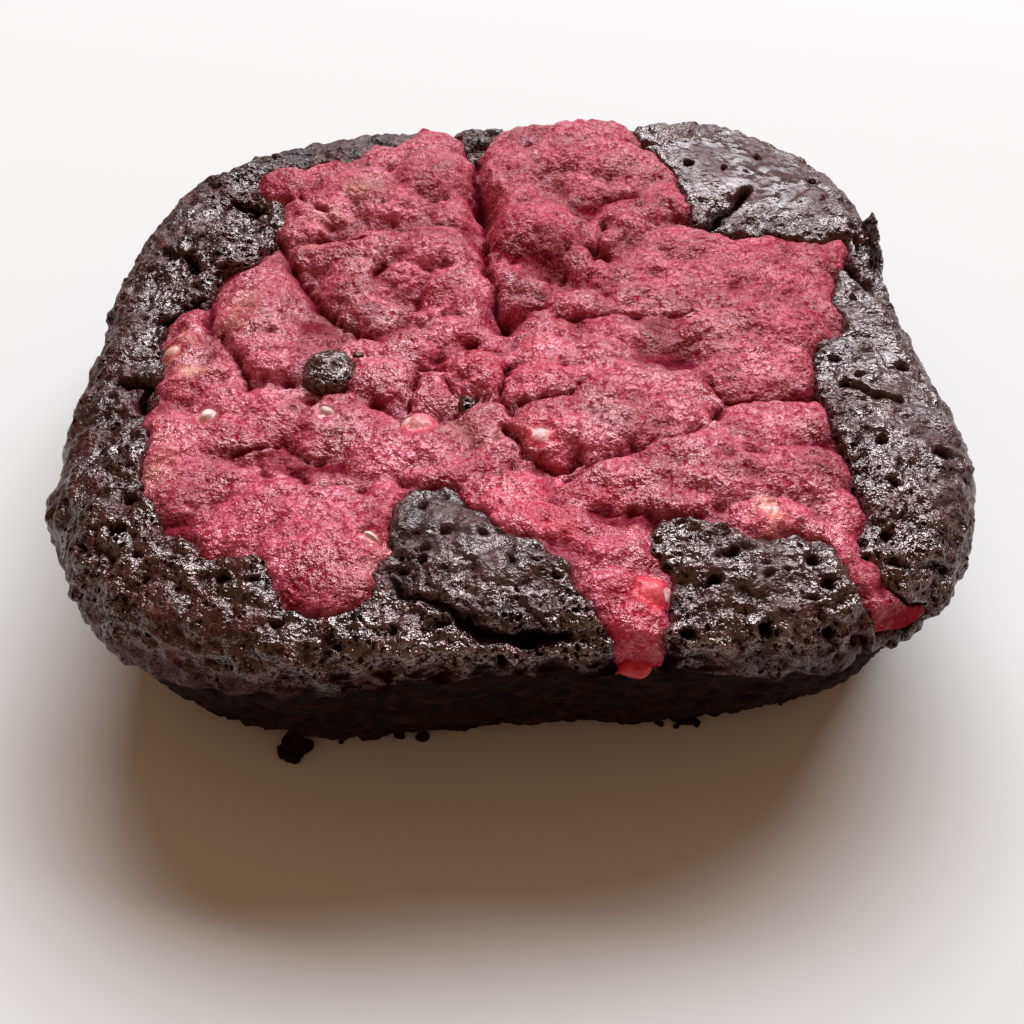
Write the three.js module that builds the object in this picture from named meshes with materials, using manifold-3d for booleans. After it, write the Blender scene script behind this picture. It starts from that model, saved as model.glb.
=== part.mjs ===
// A red velvet brookie: a brownie baked in a tapered, rounded square tray, with a red
// velvet cookie sunk in its top, white chocolate chips and two drops of brownie on it.
// Millimetres, +Z up. The origin is the middle of the flat underside, and the edge with
// the two brownie tongues faces -Y.

import * as THREE from 'three';
import { ParametricGeometry } from 'three/addons/geometries/ParametricGeometry.js';
import { mergeVertices } from 'three/addons/utils/BufferGeometryUtils.js';
import Module from 'manifold-3d';

const wasm = await Module();
wasm.setup();

// Driving dimensions.
const halfSide = 50;          // middle to the belly of the wall
const bellyHeight = 17.5;     // where the wall stands out furthest
const topLevel = 22.8;        // the top between its lumps
const footShare = 0.889;      // the foot's size as a share of the belly's
const shoulderShare = 0.1;    // how far the shoulder rolls in, as a share of the size
const frontShoulder = 0.06;   // the same at the front, where the rim is a sharper lip
const planPower = 3.2;        // plan: 2 is a circle, more is squarer
const cookieDepth = 7.5;      // cookie's thickness in the middle
const cookieEdgeDepth = 2.6;  // and where it reaches the rim
const gap = 0.3;              // kept between pieces that touch
const planCentre = [0, -0.8]; // where the plan's own centre lies in the part's frame

// Where the plan swells or draws in: [direction and spread in degrees, at the belly, at
// the foot].
const swellings = [
  [0, 24, -2, -2],
  [45, 24, 3.2, 3],
  [225, 24, 1.3, 1.5],
  [270, 38, -1.6, -2.9],
  [315, 24, 0.8, 0.8],
];
const frontDirection = 270;
const frontSpread = 30;

// Lumps of the top: [x, y, half length along X, along Y, rise]. A negative rise is a hollow.
const crustLumps = [
  [-4, -39.5, 9, 7, 2.4],
  [-9, -32, 4.5, 4.5, 1],
  [20, -39, 9, 6, 1.7],
  [-1, -47, 7, 2.2, -1.2],
  [31, 37, 8, 9, 1.7],
  [40, 23, 7, 8, 1.4],
  [32, 24.5, 6, 3.5, -2],
  [-35, 26.5, 4, 4, -2],
  [-36, 16, 5, 6, 1],
  [39, -22, 6, 10, 1],
  [-41, -30, 6, 8, 0.8],
];
const cookieLumps = [
  [-12, 33, 9, 11, 1],
  [12, 38, 12, 9, 1],
  [4.5, 19, 6, 6, 1.7],
  [21, 24.5, 5, 4, 1.3],
  [-9, 14, 7, 6, 1],
  [-30, 1, 4.5, 10, 1.4],
  [30, 5, 11, 12, 0.7],
  [12, -14, 10, 6, 1.2],
  [22, -24, 10, 5, 0.8],
  [-21, -35, 8, 7, 1.3],
  [-4, -10, 3.5, 3.5, 1],
  [2, -21, 4, 4, 1.3],
  [13, 26, 7, 3, -2.2],
  [-2.5, 22, 2.5, 8, -1.7],
  [-1, 1, 2.5, 4, -2],
  [7, 10, 4, 4, -1],
  [-25, 9, 3, 7, -1.1],
];

// The cookie's edge, clockwise from the brownie notch at the back. Where it reaches the
// rim, the points lie outside the brownie, and the wall itself ends the cookie.
const cookieEdge = [
  [-3.6, 36.6], [-5.2, 42], [-6.2, 50], [-11, 50], [-13.5, 43], [-20, 38.8], [-28, 36.9],
  [-33.4, 36], [-33, 31], [-30.2, 27], [-30.8, 17], [-36, 11], [-38, 5.2], [-41.6, 1],
  [-40.4, -9], [-40.8, -17], [-39.2, -25], [-35.2, -32.4], [-31, -36.3], [-25.5, -37.8],
  [-22.6, -42.7], [-18.6, -43.8], [-15, -41], [-13.5, -35.5], [-12.9, -29.4], [-8.2, -28.2],
  [-2.6, -34.2], [3.4, -39.4], [5.4, -45], [6.4, -54], [11.2, -54], [12.4, -45],
  [11.6, -37.6], [14, -33.4], [21.2, -36.4], [28.2, -38.2], [30, -43.6], [32, -52],
  [42, -47], [35.4, -42.6], [31.6, -37.4], [33.6, -30], [33, -17], [35, -9.5], [39.2, -4.6],
  [40.4, 3], [43.6, 10], [42.8, 14.4], [33, 15.9], [26.4, 18.4], [25.2, 28], [22.2, 37],
  [20.8, 44], [21.4, 54], [0.8, 54], [-0.4, 43],
];

// White chocolate chips: [x, y, proud height, width, lean towards +X, lean towards +Y].
const chips = [
  [-39.6, -3.4, 0.9, 4.6, 0.9, 0.5],
  [-34.2, -15, 0.7, 4.6, 0.4, -0.6],
  [-21.4, -15.2, 0.8, 4.6, -0.5, -0.7],
  [-10.8, -17, 1.3, 5.2, -1.1, 0.2],
  [2.2, -20.8, 1.5, 5.8, -0.3, 0.4],
  [-15.9, -34.6, 0.7, 4.4, 1.3, 0.6],
  [23.5, -31.8, 1, 4.6, 0.2, 1.2],
  [11, -41.2, 1.6, 5.4, 1, 0.3],
];
const rimChip = { x: 8.4, y: -48.4, z: 20.9, width: 4.2 };

// Drops of brownie: [x, y, proud height, width along X, width along Y, height].
const drops = {
  brownie_drop_large: [-21.5, -8, 2.6, 5.8, 7, 4.6],
  brownie_drop_small: [-6, -14.6, 1, 2.6, 3, 2.4],
};

// Fineness of the faceted surfaces.
const stepsRound = 80;
const wallSteps = 4;
const shoulderSteps = 4;
const topSteps = 12;
const edgeSteps = 104;

const radian = Math.PI / 180;
const quarterTurn = Math.PI / 2;

const finishes = {
  brownie: new THREE.MeshStandardMaterial({ color: 0x2a1a18, roughness: 0.5, metalness: 0 }),
  cookie: new THREE.MeshStandardMaterial({ color: 0xa83a4a, roughness: 0.8, metalness: 0 }),
  chocolate: new THREE.MeshStandardMaterial({ color: 0xf0d2b0, roughness: 0.4, metalness: 0 }),
};

// How near an angle is to a direction: 1 where they agree, fading over the spread.
function nearness(angle, direction, spread) {
  const turn = angle - direction * radian;
  const away = Math.atan2(Math.sin(turn), Math.cos(turn));
  return Math.exp(-((away / (spread * radian)) ** 2));
}

// Radius of the plan in one direction: a superellipse with its swellings. The lift is 0 at
// the foot and 1 at the belly, and the share is the wall's size there.
function planRadius(angle, lift, share) {
  const across = Math.abs(Math.cos(angle)) ** planPower;
  const along = Math.abs(Math.sin(angle)) ** planPower;
  let radius = halfSide * (across + along) ** (-1 / planPower);
  for (const [direction, spread, atBelly, atFoot] of swellings) {
    radius += (atFoot + (atBelly - atFoot) * lift) * nearness(angle, direction, spread);
  }
  return share * radius;
}

// Height of the top over a point: the level plus its lumps and hollows.
function topHeight(x, y) {
  let height = topLevel;
  for (const [lumpX, lumpY, alongX, alongY, rise] of [...crustLumps, ...cookieLumps]) {
    const away = ((x - lumpX) / alongX) ** 2 + ((y - lumpY) / alongY) ** 2;
    height += rise * Math.exp(-away);
  }
  return height;
}

// A point of the leaning wall, from t = 0 at the foot to 1 at the belly.
function wallPoint(angle, t) {
  const share = footShare + (1 - footShare) * Math.sin(t * quarterTurn);
  return { radius: planRadius(angle, t, share), height: t * bellyHeight };
}

// The shoulder is a quarter ellipse from the belly up and in to the top.
function shoulderWidth(angle) {
  const front = nearness(angle, frontDirection, frontSpread);
  return shoulderShare + (frontShoulder - shoulderShare) * front;
}

function shoulderPoint(angle, t, top) {
  const share = 1 - shoulderWidth(angle) * (1 - Math.cos(t * quarterTurn));
  const height = bellyHeight + (top - bellyHeight) * Math.sin(t * quarterTurn);
  return { radius: planRadius(angle, 1, share), height };
}

// The whole outer shape, swept round in rings: the middle of the underside, the wall, the
// shoulder, and in over the top to its middle.
function outerShape() {
  const foot = 1;
  const belly = foot + wallSteps;
  const rim = belly + shoulderSteps;
  const rings = rim + topSteps;
  const sweep = (u, v, target) => {
    const angle = 2 * Math.PI * u;
    const ring = Math.round(v * rings);
    if (ring < foot) {
      target.set(0, 0, 0);
      return;
    }
    const inward = Math.max(0, ring - rim) / topSteps;
    const topRadius = planRadius(angle, 1, (1 - shoulderWidth(angle)) * (1 - inward));
    const top = topHeight(topRadius * Math.cos(angle), topRadius * Math.sin(angle));
    let point = { radius: topRadius, height: top };
    if (ring <= belly) {
      point = wallPoint(angle, (ring - foot) / wallSteps);
    } else if (ring < rim) {
      point = shoulderPoint(angle, (ring - belly) / shoulderSteps, top);
    }
    target.set(point.radius * Math.cos(angle), point.radius * Math.sin(angle), point.height);
  };
  return new ParametricGeometry(sweep, stepsRound, rings);
}

// Everything below the cookie's bowl-shaped floor, out past the wall on all sides.
function belowFloor(lowered) {
  const rings = 8;
  const outside = 1.25;
  const base = -5;
  const sweep = (u, v, target) => {
    const angle = 2 * Math.PI * u;
    const ring = Math.round(v * rings);
    const share = ring === 0 ? 0 : outside * Math.min(1, (rings - ring) / (rings - 2));
    const radius = planRadius(angle, 1, share);
    const rise = (cookieDepth - cookieEdgeDepth) * Math.min(1, share) ** 4;
    const floor = topLevel - cookieDepth + rise - lowered;
    target.set(radius * Math.cos(angle), radius * Math.sin(angle), ring < 2 ? base : floor);
  };
  return new ParametricGeometry(sweep, stepsRound / 2, rings);
}

// A prism over the cookie's edge, moved outwards by a margin.
function edgePrism(margin) {
  const base = 5;
  const reach = 30;
  const curve = new THREE.CatmullRomCurve3(
    cookieEdge.map(([x, y]) => new THREE.Vector3(x, y, 0)),
    true,
    'centripetal',
  );
  const outline = [];
  for (let i = 0; i < edgeSteps; i += 1) {
    const at = curve.getPoint(i / edgeSteps);
    const along = curve.getTangent(i / edgeSteps);
    outline.push(new THREE.Vector2(at.x + margin * along.y, at.y - margin * along.x));
  }
  const shape = new THREE.Shape(outline);
  const prism = new THREE.ExtrudeGeometry(shape, { depth: reach, bevelEnabled: false });
  return prism.translate(0, 0, base);
}

// A chocolate chip: a round foot drawn up to a soft point, made on its axis and then leaned.
function chipShape(width, margin, leanX, leanY) {
  const radius = width / 2 + margin;
  const half = 0.42 * width + margin;
  const points = [];
  const steps = 7;
  for (let i = 0; i <= steps; i += 1) {
    const turn = Math.PI * i / steps;
    const point = 1 - 0.28 * (1 - Math.cos(turn)) / 2;
    const out = i === 0 || i === steps ? 0 : radius * Math.sin(turn) * point;
    points.push(new THREE.Vector2(out, -half * Math.cos(turn)));
  }
  const chip = new THREE.LatheGeometry(points, 12);
  chip.rotateX(Math.PI / 2);
  chip.rotateX(-leanY);
  chip.rotateY(leanX);
  return chip;
}

// A drop of batter: a flattened ball.
function dropShape(acrossX, acrossY, height, margin) {
  const drop = new THREE.SphereGeometry(1, 14, 9);
  return drop.scale(acrossX / 2 + margin, acrossY / 2 + margin, height / 2 + margin);
}

// A three.js geometry as a manifold solid: only positions, shared corners merged, and the
// folded triangles at poles dropped.
function solidOf(geometry) {
  const bare = geometry.index ? geometry.clone() : geometry;
  bare.deleteAttribute('normal');
  bare.deleteAttribute('uv');
  const merged = mergeVertices(bare, 1e-3);
  const corners = merged.index.array;
  const triangles = [];
  for (let i = 0; i < corners.length; i += 3) {
    const [a, b, c] = corners.slice(i, i + 3);
    if (a !== b && b !== c && c !== a) {
      triangles.push(a, b, c);
    }
  }
  return new wasm.Manifold(new wasm.Mesh({
    numProp: 3,
    vertProperties: new Float32Array(merged.attributes.position.array),
    triVerts: new Uint32Array(triangles),
  }));
}

function namedMesh(name, solid, finish) {
  const { vertProperties, triVerts } = solid.getMesh();
  const geometry = new THREE.BufferGeometry();
  geometry.setAttribute('position', new THREE.BufferAttribute(vertProperties, 3));
  geometry.setIndex(new THREE.BufferAttribute(triVerts, 1));
  geometry.computeVertexNormals();
  const mesh = new THREE.Mesh(geometry, finish);
  mesh.name = name;
  return mesh;
}

// Each small piece as { name, finish, shape(margin) }, seated in the top.
function smallPieces() {
  const pieces = chips.map(([x, y, proud, width, leanX, leanY], i) => ({
    name: `white_chocolate_chip_${i + 1}`,
    finish: finishes.chocolate,
    shape: (margin) => {
      const chip = chipShape(width, margin, leanX, leanY);
      return chip.translate(x, y, topHeight(x, y) + proud - 0.45 * width);
    },
  }));
  pieces.push({
    name: `white_chocolate_chip_${chips.length + 1}`,
    finish: finishes.chocolate,
    shape: (margin) => chipShape(rimChip.width, margin, 0, -1).translate(rimChip.x, rimChip.y, rimChip.z),
  });
  for (const [name, [x, y, proud, acrossX, acrossY, height]] of Object.entries(drops)) {
    pieces.push({
      name,
      finish: finishes.brownie,
      shape: (margin) => {
        const drop = dropShape(acrossX, acrossY, height, margin);
        return drop.translate(x, y, topHeight(x, y) + proud - height / 2);
      },
    });
  }
  return pieces;
}

const whole = solidOf(outerShape());
let cookie = whole.intersect(solidOf(edgePrism(0)).subtract(solidOf(belowFloor(0))));
let brownie = whole.subtract(solidOf(edgePrism(gap)).subtract(solidOf(belowFloor(gap))));

const brookie = new THREE.Group();
for (const piece of smallPieces()) {
  const seat = solidOf(piece.shape(gap));
  cookie = cookie.subtract(seat);
  brownie = brownie.subtract(seat);
  brookie.add(namedMesh(piece.name, solidOf(piece.shape(0)), piece.finish));
}
brookie.add(namedMesh('brownie_base', brownie, finishes.brownie));
brookie.add(namedMesh('red_velvet_cookie', cookie, finishes.cookie));
brookie.position.set(planCentre[0], planCentre[1], 0);

export default brookie;
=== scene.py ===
import math

import bpy
import numpy as np
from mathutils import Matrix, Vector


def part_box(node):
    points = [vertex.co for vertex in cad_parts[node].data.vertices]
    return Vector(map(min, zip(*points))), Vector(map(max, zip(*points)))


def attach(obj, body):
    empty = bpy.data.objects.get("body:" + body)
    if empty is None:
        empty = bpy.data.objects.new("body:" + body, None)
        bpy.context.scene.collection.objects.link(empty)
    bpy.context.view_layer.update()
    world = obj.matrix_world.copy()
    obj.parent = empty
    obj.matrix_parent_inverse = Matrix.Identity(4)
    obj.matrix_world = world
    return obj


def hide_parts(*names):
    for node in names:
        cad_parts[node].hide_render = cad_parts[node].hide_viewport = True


# A red velvet brookie: a tray-baked brownie with a red velvet cookie sunk in its top, white
# chocolate chips in the cookie and two drops of brownie batter on it. Shapes are worked out
# in millimetres about the middle of the plan, and go into the meshes in metres.

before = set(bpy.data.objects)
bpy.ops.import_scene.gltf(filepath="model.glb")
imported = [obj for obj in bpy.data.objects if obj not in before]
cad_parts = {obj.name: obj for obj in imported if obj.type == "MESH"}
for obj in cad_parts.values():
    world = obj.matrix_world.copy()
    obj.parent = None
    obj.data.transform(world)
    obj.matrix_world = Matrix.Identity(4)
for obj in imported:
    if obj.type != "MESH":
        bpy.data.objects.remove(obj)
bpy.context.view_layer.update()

millimetre = 0.001
quarterTurn = math.pi / 2

plan = {
    "middle": (0.0, -0.8),   # where the plan's own middle lies in the part's frame
    "halfSide": 50.0,        # middle to the belly of the wall
    "power": 3.2,            # 2 is a circle, more is squarer
    "belly": 17.5,           # height where the wall stands out furthest
    "top": 22.8,             # level of the top between its lumps
    "foot": 0.889,           # the foot's size as a share of the belly's
    "shoulder": 0.1,         # how far the shoulder rolls in, as a share of the size
    "frontShoulder": 0.028,   # the same at the front, where the rim is a lip
    # direction, spread (degrees), how far the plan swells at the belly and at the foot
    "swellings": [(0, 24, -2, -2), (45, 24, 3.2, 3), (225, 24, 1.3, 1.5),
                  (270, 38, -1.6, -2.9), (315, 24, 0.8, 0.8)],
    # direction and spread of the front, for the shoulder, the wall below it and the lip over that
    "front": (270, 30),
    "frontWall": (270, 34),
    "frontLip": (270, 40),
    "lip": 19.9,             # level of the cookie's end at the rim
    "tails": [(9, -50, 5, 6, 1.5), (36, -46, 5, 5, 2.6)],   # lower there: x, y, half lengths, drop
    # broad lumps of the bed: x, y, half length along X, along Y, rise
    "lumps": [
        (-4, -39.5, 9, 8, 1.9), (-9, -32, 4.5, 4.5, 0.8), (20, -39, 9, 6, 1.5),
        (-1, -48.2, 8.5, 2.4, -1.9), (31, 37, 8, 9, 1.7), (40, 23, 7, 8, 1.4),
        (28.5, 20.5, 3, 2, -0.6), (32, 23.6, 3.5, 2.2, -0.4), (-35, 26.5, 4, 4, -2),
        (-36, 16, 5, 6, 1), (39, -22, 6, 10, 1), (-41, -30, 6, 8, 0.8), (-12, 33, 9, 11, 1),
        (12, 38, 12, 9, 1), (4.5, 19, 6, 6, 1.7), (21, 24.5, 5, 4, 1.1), (-9, 14, 7, 6, 1),
        (-30, 1, 4.5, 10, 1.4), (30, 5, 11, 12, 0.7), (12, -14, 10, 6, 1.2), (22, -24, 10, 5, 0.8),
        (-21, -35, 8, 7, 1.3), (-4, -10, 3.5, 3.5, 1), (2, -21, 4, 4, 1.3),
        (-2.5, 22, 2.5, 8, -1.7), (-1, 1, 2.5, 4, -2), (7, 10, 4, 4, -1), (-25, 9, 3, 7, -1.1),
    ],
    # where the cookie meets the brownie, clockwise from the notch at the back; points past
    # the rim leave the cookie's end to the rim itself
    "edge": [
        (-3.5, 36.5), (-4.7, 39), (-5, 43.5), (-6, 46), (-7.5, 52), (-10, 52), (-11.5, 45.4), (-13.5, 43),
        (-18, 40.5), (-20, 38.7), (-23, 38.2), (-26, 38), (-28, 36.8), (-33, 36.3), (-34, 34.5),
        (-32, 29), (-30.5, 28), (-30, 22), (-31, 20.5), (-30.5, 17), (-31.5, 14.5), (-33, 12),
        (-36, 11), (-37.5, 5.5), (-41, 2.5), (-42, -1.5), (-41, -5), (-40.5, -13.5), (-41, -17),
        (-39.5, -20), (-39.5, -24), (-38.5, -28), (-36, -31.5), (-33.5, -34), (-31.5, -36),
        (-26.5, -37.3), (-25, -38.5), (-24.3, -40.5), (-22.5, -42.7), (-19, -43.8), (-16.5, -42.8),
        (-15, -41), (-14.7, -38.5), (-13.5, -37.3), (-13.5, -31), (-11.5, -28), (-8, -28.2),
        (-6, -30.8), (-3.4, -33.6), (-2.6, -35.4), (-0.4, -36.2), (1.7, -38), (3.4, -40),
        (5.8, -45.5), (7.2, -49),
        (7.4, -54), (10.5, -54), (11, -48.5), (12.5, -43.5), (13, -41.5), (11.5, -37.5), (12.5, -34.5),
        (14, -33.9), (16.5, -34.2), (19, -35.6), (21, -36.9), (23, -36.8), (26, -37), (28.5, -38.5),
        (29.5, -43), (31, -45.5), (33.5, -51), (46, -46), (38.8, -42.4), (36.2, -42.6),
        (34.5, -43.2), (32, -39.5), (31.5, -37), (33, -35), (33.5, -28), (33.5, -20), (33, -16.5),
        (34, -14), (35, -8), (36.5, -6), (39, -5), (40, 3), (42.5, 9), (44, 12), (43.5, 14.5),
        (40, 14), (37, 14.8), (31, 16), (29, 17.5), (26.5, 18.3), (25.5, 20), (25, 29), (24, 33),
        (22.5, 36), (21, 41.5), (20.8, 46), (21.5, 54), (0.8, 54), (0.5, 45), (-1, 40.5), (-2.5, 38),
    ],
}


# 0 below low, 1 above high, and a smooth climb (3t^2 - 2t^3) between them
def climb(low, high, value):
    t = np.clip((value - low) / (high - low), 0, 1)
    return t * t * (3 - 2 * t)


# 1 at a place, fading as exp(-distance^2) where the distance counts in half lengths
def spot(x, y, place):
    return np.exp(-((x - place[0]) / place[2]) ** 2 - ((y - place[1]) / place[3]) ** 2)


# the sum of each area's share times its spot; an area is x, y, half lengths and share
def spotted(x, y, areas):
    return sum(area[4] * spot(x, y, area) for area in areas)


# points at a radius and a height in each direction
def polar(radius, angle, z):
    return np.stack([radius * np.cos(angle), radius * np.sin(angle), z + 0 * radius], axis=-1)


dice = np.random.default_rng(11)
slopes = dice.normal(size=(4096, 3))
slopes /= np.linalg.norm(slopes, axis=1, keepdims=True)
places = dice.random((4096, 3))
corners = [np.array([i >> 2 & 1, i >> 1 & 1, i & 1]) for i in range(8)]
around = [np.array([i // 9 - 1, i // 3 % 3 - 1, i % 3 - 1]) for i in range(27)]


# one of 4096 table rows for each cell of a lattice, always the same for the same cell
def rowOfCell(cell, seed):
    row = cell[:, 0] * 73856093 ^ cell[:, 1] * 19349663 ^ cell[:, 2] * 83492791 ^ seed * 39916801
    row = (row ^ row >> 13) * 1274126177
    return (row >> 9) & 4095


# smooth random waves, about -1 to 1: slopes at the corners of a lattice blended by 6t^5 - 15t^4 + 10t^3
def ripple(points, size, seed):
    scaled = points.reshape(-1, 3) / size
    cell = np.floor(scaled).astype(np.int64)
    inside = scaled - cell
    fade = inside ** 3 * (inside * (inside * 6 - 15) + 10)
    total = np.zeros(len(scaled))
    for corner in corners:
        slope = slopes[rowOfCell(cell + corner, seed)]
        weight = np.prod(np.where(corner == 1, fade, 1 - fade), axis=1)
        total += weight * np.sum(slope * (inside - corner), axis=1)
    return 1.7 * total.reshape(points.shape[:-1])


# waves of a size, of half of it and so on, each half as high
def ripples(points, size, seed, layers):
    total = 0
    for layer in range(layers):
        total = total + ripple(points, size / 2 ** layer, seed + layer) / 2 ** layer
    return total


# the waves of a table's entry, which gives their height and their length in millimetres
def waves(entry, points, seed, layers=1):
    return entry[0] * ripples(points, entry[1], seed, layers)


# three waves at once, one along each axis
def shake(points, size, seed):
    return np.stack([ripple(points, size, seed + axis) for axis in range(3)], axis=-1)


# one point scattered in each cell of a lattice: distance to the nearest as a share of the cell,
# how much nearer it is than the second, and the nearest one's own random number
def grains(points, size, seed):
    scaled = points.reshape(-1, 3) / size
    cell = np.floor(scaled).astype(np.int64)
    inside = scaled - cell
    nearest = np.full(len(scaled), 9.0)
    second = nearest.copy()
    tag = np.zeros(len(scaled))
    for step in around:
        place = places[rowOfCell(cell + step, seed)]
        away = np.sqrt(np.sum((step + place - inside) ** 2, axis=1))
        closer = away < nearest
        second = np.where(closer, nearest, np.minimum(second, away))
        tag = np.where(closer, (place[:, 0] * 7.3 + place[:, 1] * 3.1) % 1, tag)
        nearest = np.where(closer, away, nearest)
    shape = points.shape[:-1]
    return nearest.reshape(shape), (second - nearest).reshape(shape), tag.reshape(shape)


# distance from each point to a line through the given points
def distanceToLine(x, y, line):
    nearest = np.full(x.shape, 1e9)
    for (ax, ay), (bx, by) in zip(line[:-1], line[1:]):
        length2 = (bx - ax) ** 2 + (by - ay) ** 2
        t = np.clip(((x - ax) * (bx - ax) + (y - ay) * (by - ay)) / length2, 0, 1)
        nearest = np.minimum(nearest, np.hypot(x - ax - t * (bx - ax), y - ay - t * (by - ay)))
    return nearest


# mean over a square window of grid points; the columns go round
def blurred(values, reach, goesRound=True):
    total = values.copy()
    for axis in (0, 1):
        summed = total.copy()
        for step in range(1, reach + 1):
            for way in (-step, step):
                moved = np.roll(total, way, axis)
                if axis == 0 or not goesRound:
                    edge = [slice(None)] * 2
                    edge[axis] = slice(0, way) if way > 0 else slice(way, None)
                    moved[tuple(edge)] = total[tuple(edge)]
                summed += moved
        total = summed / (2 * reach + 1)
    return total


# how near a direction is to another: exp(-(turn / spread)^2)
def nearness(angle, direction, spread):
    turn = angle - math.radians(direction)
    return np.exp(-(np.arctan2(np.sin(turn), np.cos(turn)) / math.radians(spread)) ** 2)


# superellipse (|cos|^n + |sin|^n)^(-1/n) with its swellings; lift is 0 at the foot, 1 at the belly
def planRadius(angle, lift):
    n = plan["power"]
    radius = plan["halfSide"] * (np.abs(np.cos(angle)) ** n + np.abs(np.sin(angle)) ** n) ** (-1 / n)
    for direction, spread, atBelly, atFoot in plan["swellings"]:
        radius = radius + (atFoot + (atBelly - atFoot) * lift) * nearness(angle, direction, spread)
    return radius


def shoulderWidth(angle):
    front = nearness(angle, *plan["front"])
    return plan["shoulder"] + (plan["frontShoulder"] - plan["shoulder"]) * front


# the level plus each lump's rise * exp(-(x/ax)^2 - (y/ay)^2)
def bedHeight(x, y):
    return plan["top"] + spotted(x, y, plan["lumps"])


# closed centripetal Catmull-Rom curve: three blends between neighbours, then two, then one
def smoothLoop(points, steps):
    p = np.array(points, float)
    a, b, c, d = (np.roll(p, shift, 0)[:, None, :] for shift in (1, 0, -1, -2))
    gap = [np.sqrt(np.linalg.norm(q - o, axis=2, keepdims=True)) for o, q in ((a, b), (b, c), (c, d))]
    t1 = gap[0]
    t2 = t1 + gap[1]
    t3 = t2 + gap[2]
    t = t1 + gap[1] * (np.arange(steps) / steps)[None, :, None]
    ab = (a * (t1 - t) + b * t) / t1
    bc = (b * (t2 - t) + c * (t - t1)) / (t2 - t1)
    cd = (c * (t3 - t) + d * (t - t2)) / (t3 - t2)
    abc = (ab * (t2 - t) + bc * t) / t2
    bcd = (bc * (t3 - t) + cd * (t - t1)) / (t3 - t1)
    return ((abc * (t2 - t) + bcd * (t - t1)) / (t2 - t1)).reshape(-1, 2)


# distance to the cookie's edge on a square lattice, positive inside (an odd number of crossings)
edgeLattice = {"half": 58.0, "spacing": 0.5}
edgeLoop = smoothLoop(plan["edge"], 5)


def edgeDistances():
    half, spacing = edgeLattice["half"], edgeLattice["spacing"]
    line = np.arange(-half, half + spacing, spacing)
    x, y = np.meshgrid(line, line)
    closed = np.append(edgeLoop, edgeLoop[:1], axis=0)
    crossings = np.zeros(x.shape, int)
    for (ax, ay), (bx, by) in zip(closed[:-1], closed[1:]):
        spans = (ay > y) != (by > y)
        crossings += spans & (x < ax + (y - ay) * (bx - ax) / (by - ay + 1e-12))
    return distanceToLine(x, y, closed) * np.where(crossings % 2 == 1, 1, -1)


edgeField = edgeDistances()


# millimetres inside the cookie's edge, read from the lattice by blending its four corners; the
# places are shaken by waves of 4 and 1.5 mm, so that the seam is ragged
def insideCookie(points):
    flat = points * (1, 1, 0)
    x = points[..., 0] + 0.75 * ripple(flat, 4.0, 31) + 0.5 * ripple(flat, 1.5, 32)
    y = points[..., 1] + 0.75 * ripple(flat, 4.0, 33) + 0.5 * ripple(flat, 1.5, 34)
    last = len(edgeField) - 2
    column = np.clip((x + edgeLattice["half"]) / edgeLattice["spacing"], 0, last)
    row = np.clip((y + edgeLattice["half"]) / edgeLattice["spacing"], 0, last)
    i, j = row.astype(int), column.astype(int)
    u, v = column - j, row - i
    low = edgeField[i, j] * (1 - u) + edgeField[i, j + 1] * u
    high = edgeField[i + 1, j] * (1 - u) + edgeField[i + 1, j + 1] * u
    return low * (1 - v) + high * v


# the edge's least and greatest distance from the middle in each direction
def edgeReach(angle, pick, start):
    bins = 360
    turns = np.arctan2(edgeLoop[:, 1], edgeLoop[:, 0]) % (2 * math.pi)
    reach = np.full(bins, start)
    pick.at(reach, (turns / (2 * math.pi) * bins).astype(int) % bins, np.hypot(*edgeLoop.T))
    for step in (1, 1, 2, 2):
        reach = pick(reach, pick(np.roll(reach, step), np.roll(reach, -step)))
    smooth = sum(np.roll(reach, step) for step in range(-3, 4)) / 7
    return np.interp(angle, np.arange(bins + 1) / bins * 2 * math.pi, np.append(smooth, smooth[0]))


# unit normals of a grid whose rows go outwards and down and whose columns go round to the left
def normalsOf(grid):
    along = np.gradient(grid, axis=0)
    across = np.roll(grid, -1, 1) - np.roll(grid, 1, 1)
    normal = np.cross(along, across)
    return normal / (np.linalg.norm(normal, axis=2, keepdims=True) + 1e-9)


# four corners for each cell between rows, the columns joined round
def ringQuads(rows, columns, first=0):
    here = first + np.arange(rows * columns).reshape(rows, columns)
    there = np.roll(here, -1, 1)
    return np.stack([here[:-1], here[1:], there[1:], there[:-1]], axis=-1).reshape(-1, 4)


# a fan from one row to a pole; turned over for the pole at the top
def fan(row, pole, atTop=False):
    ahead = np.roll(row, -1)
    left, right = (row, ahead) if atTop else (ahead, row)
    return np.stack([np.full(len(row), pole), left, right], axis=-1)


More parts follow.
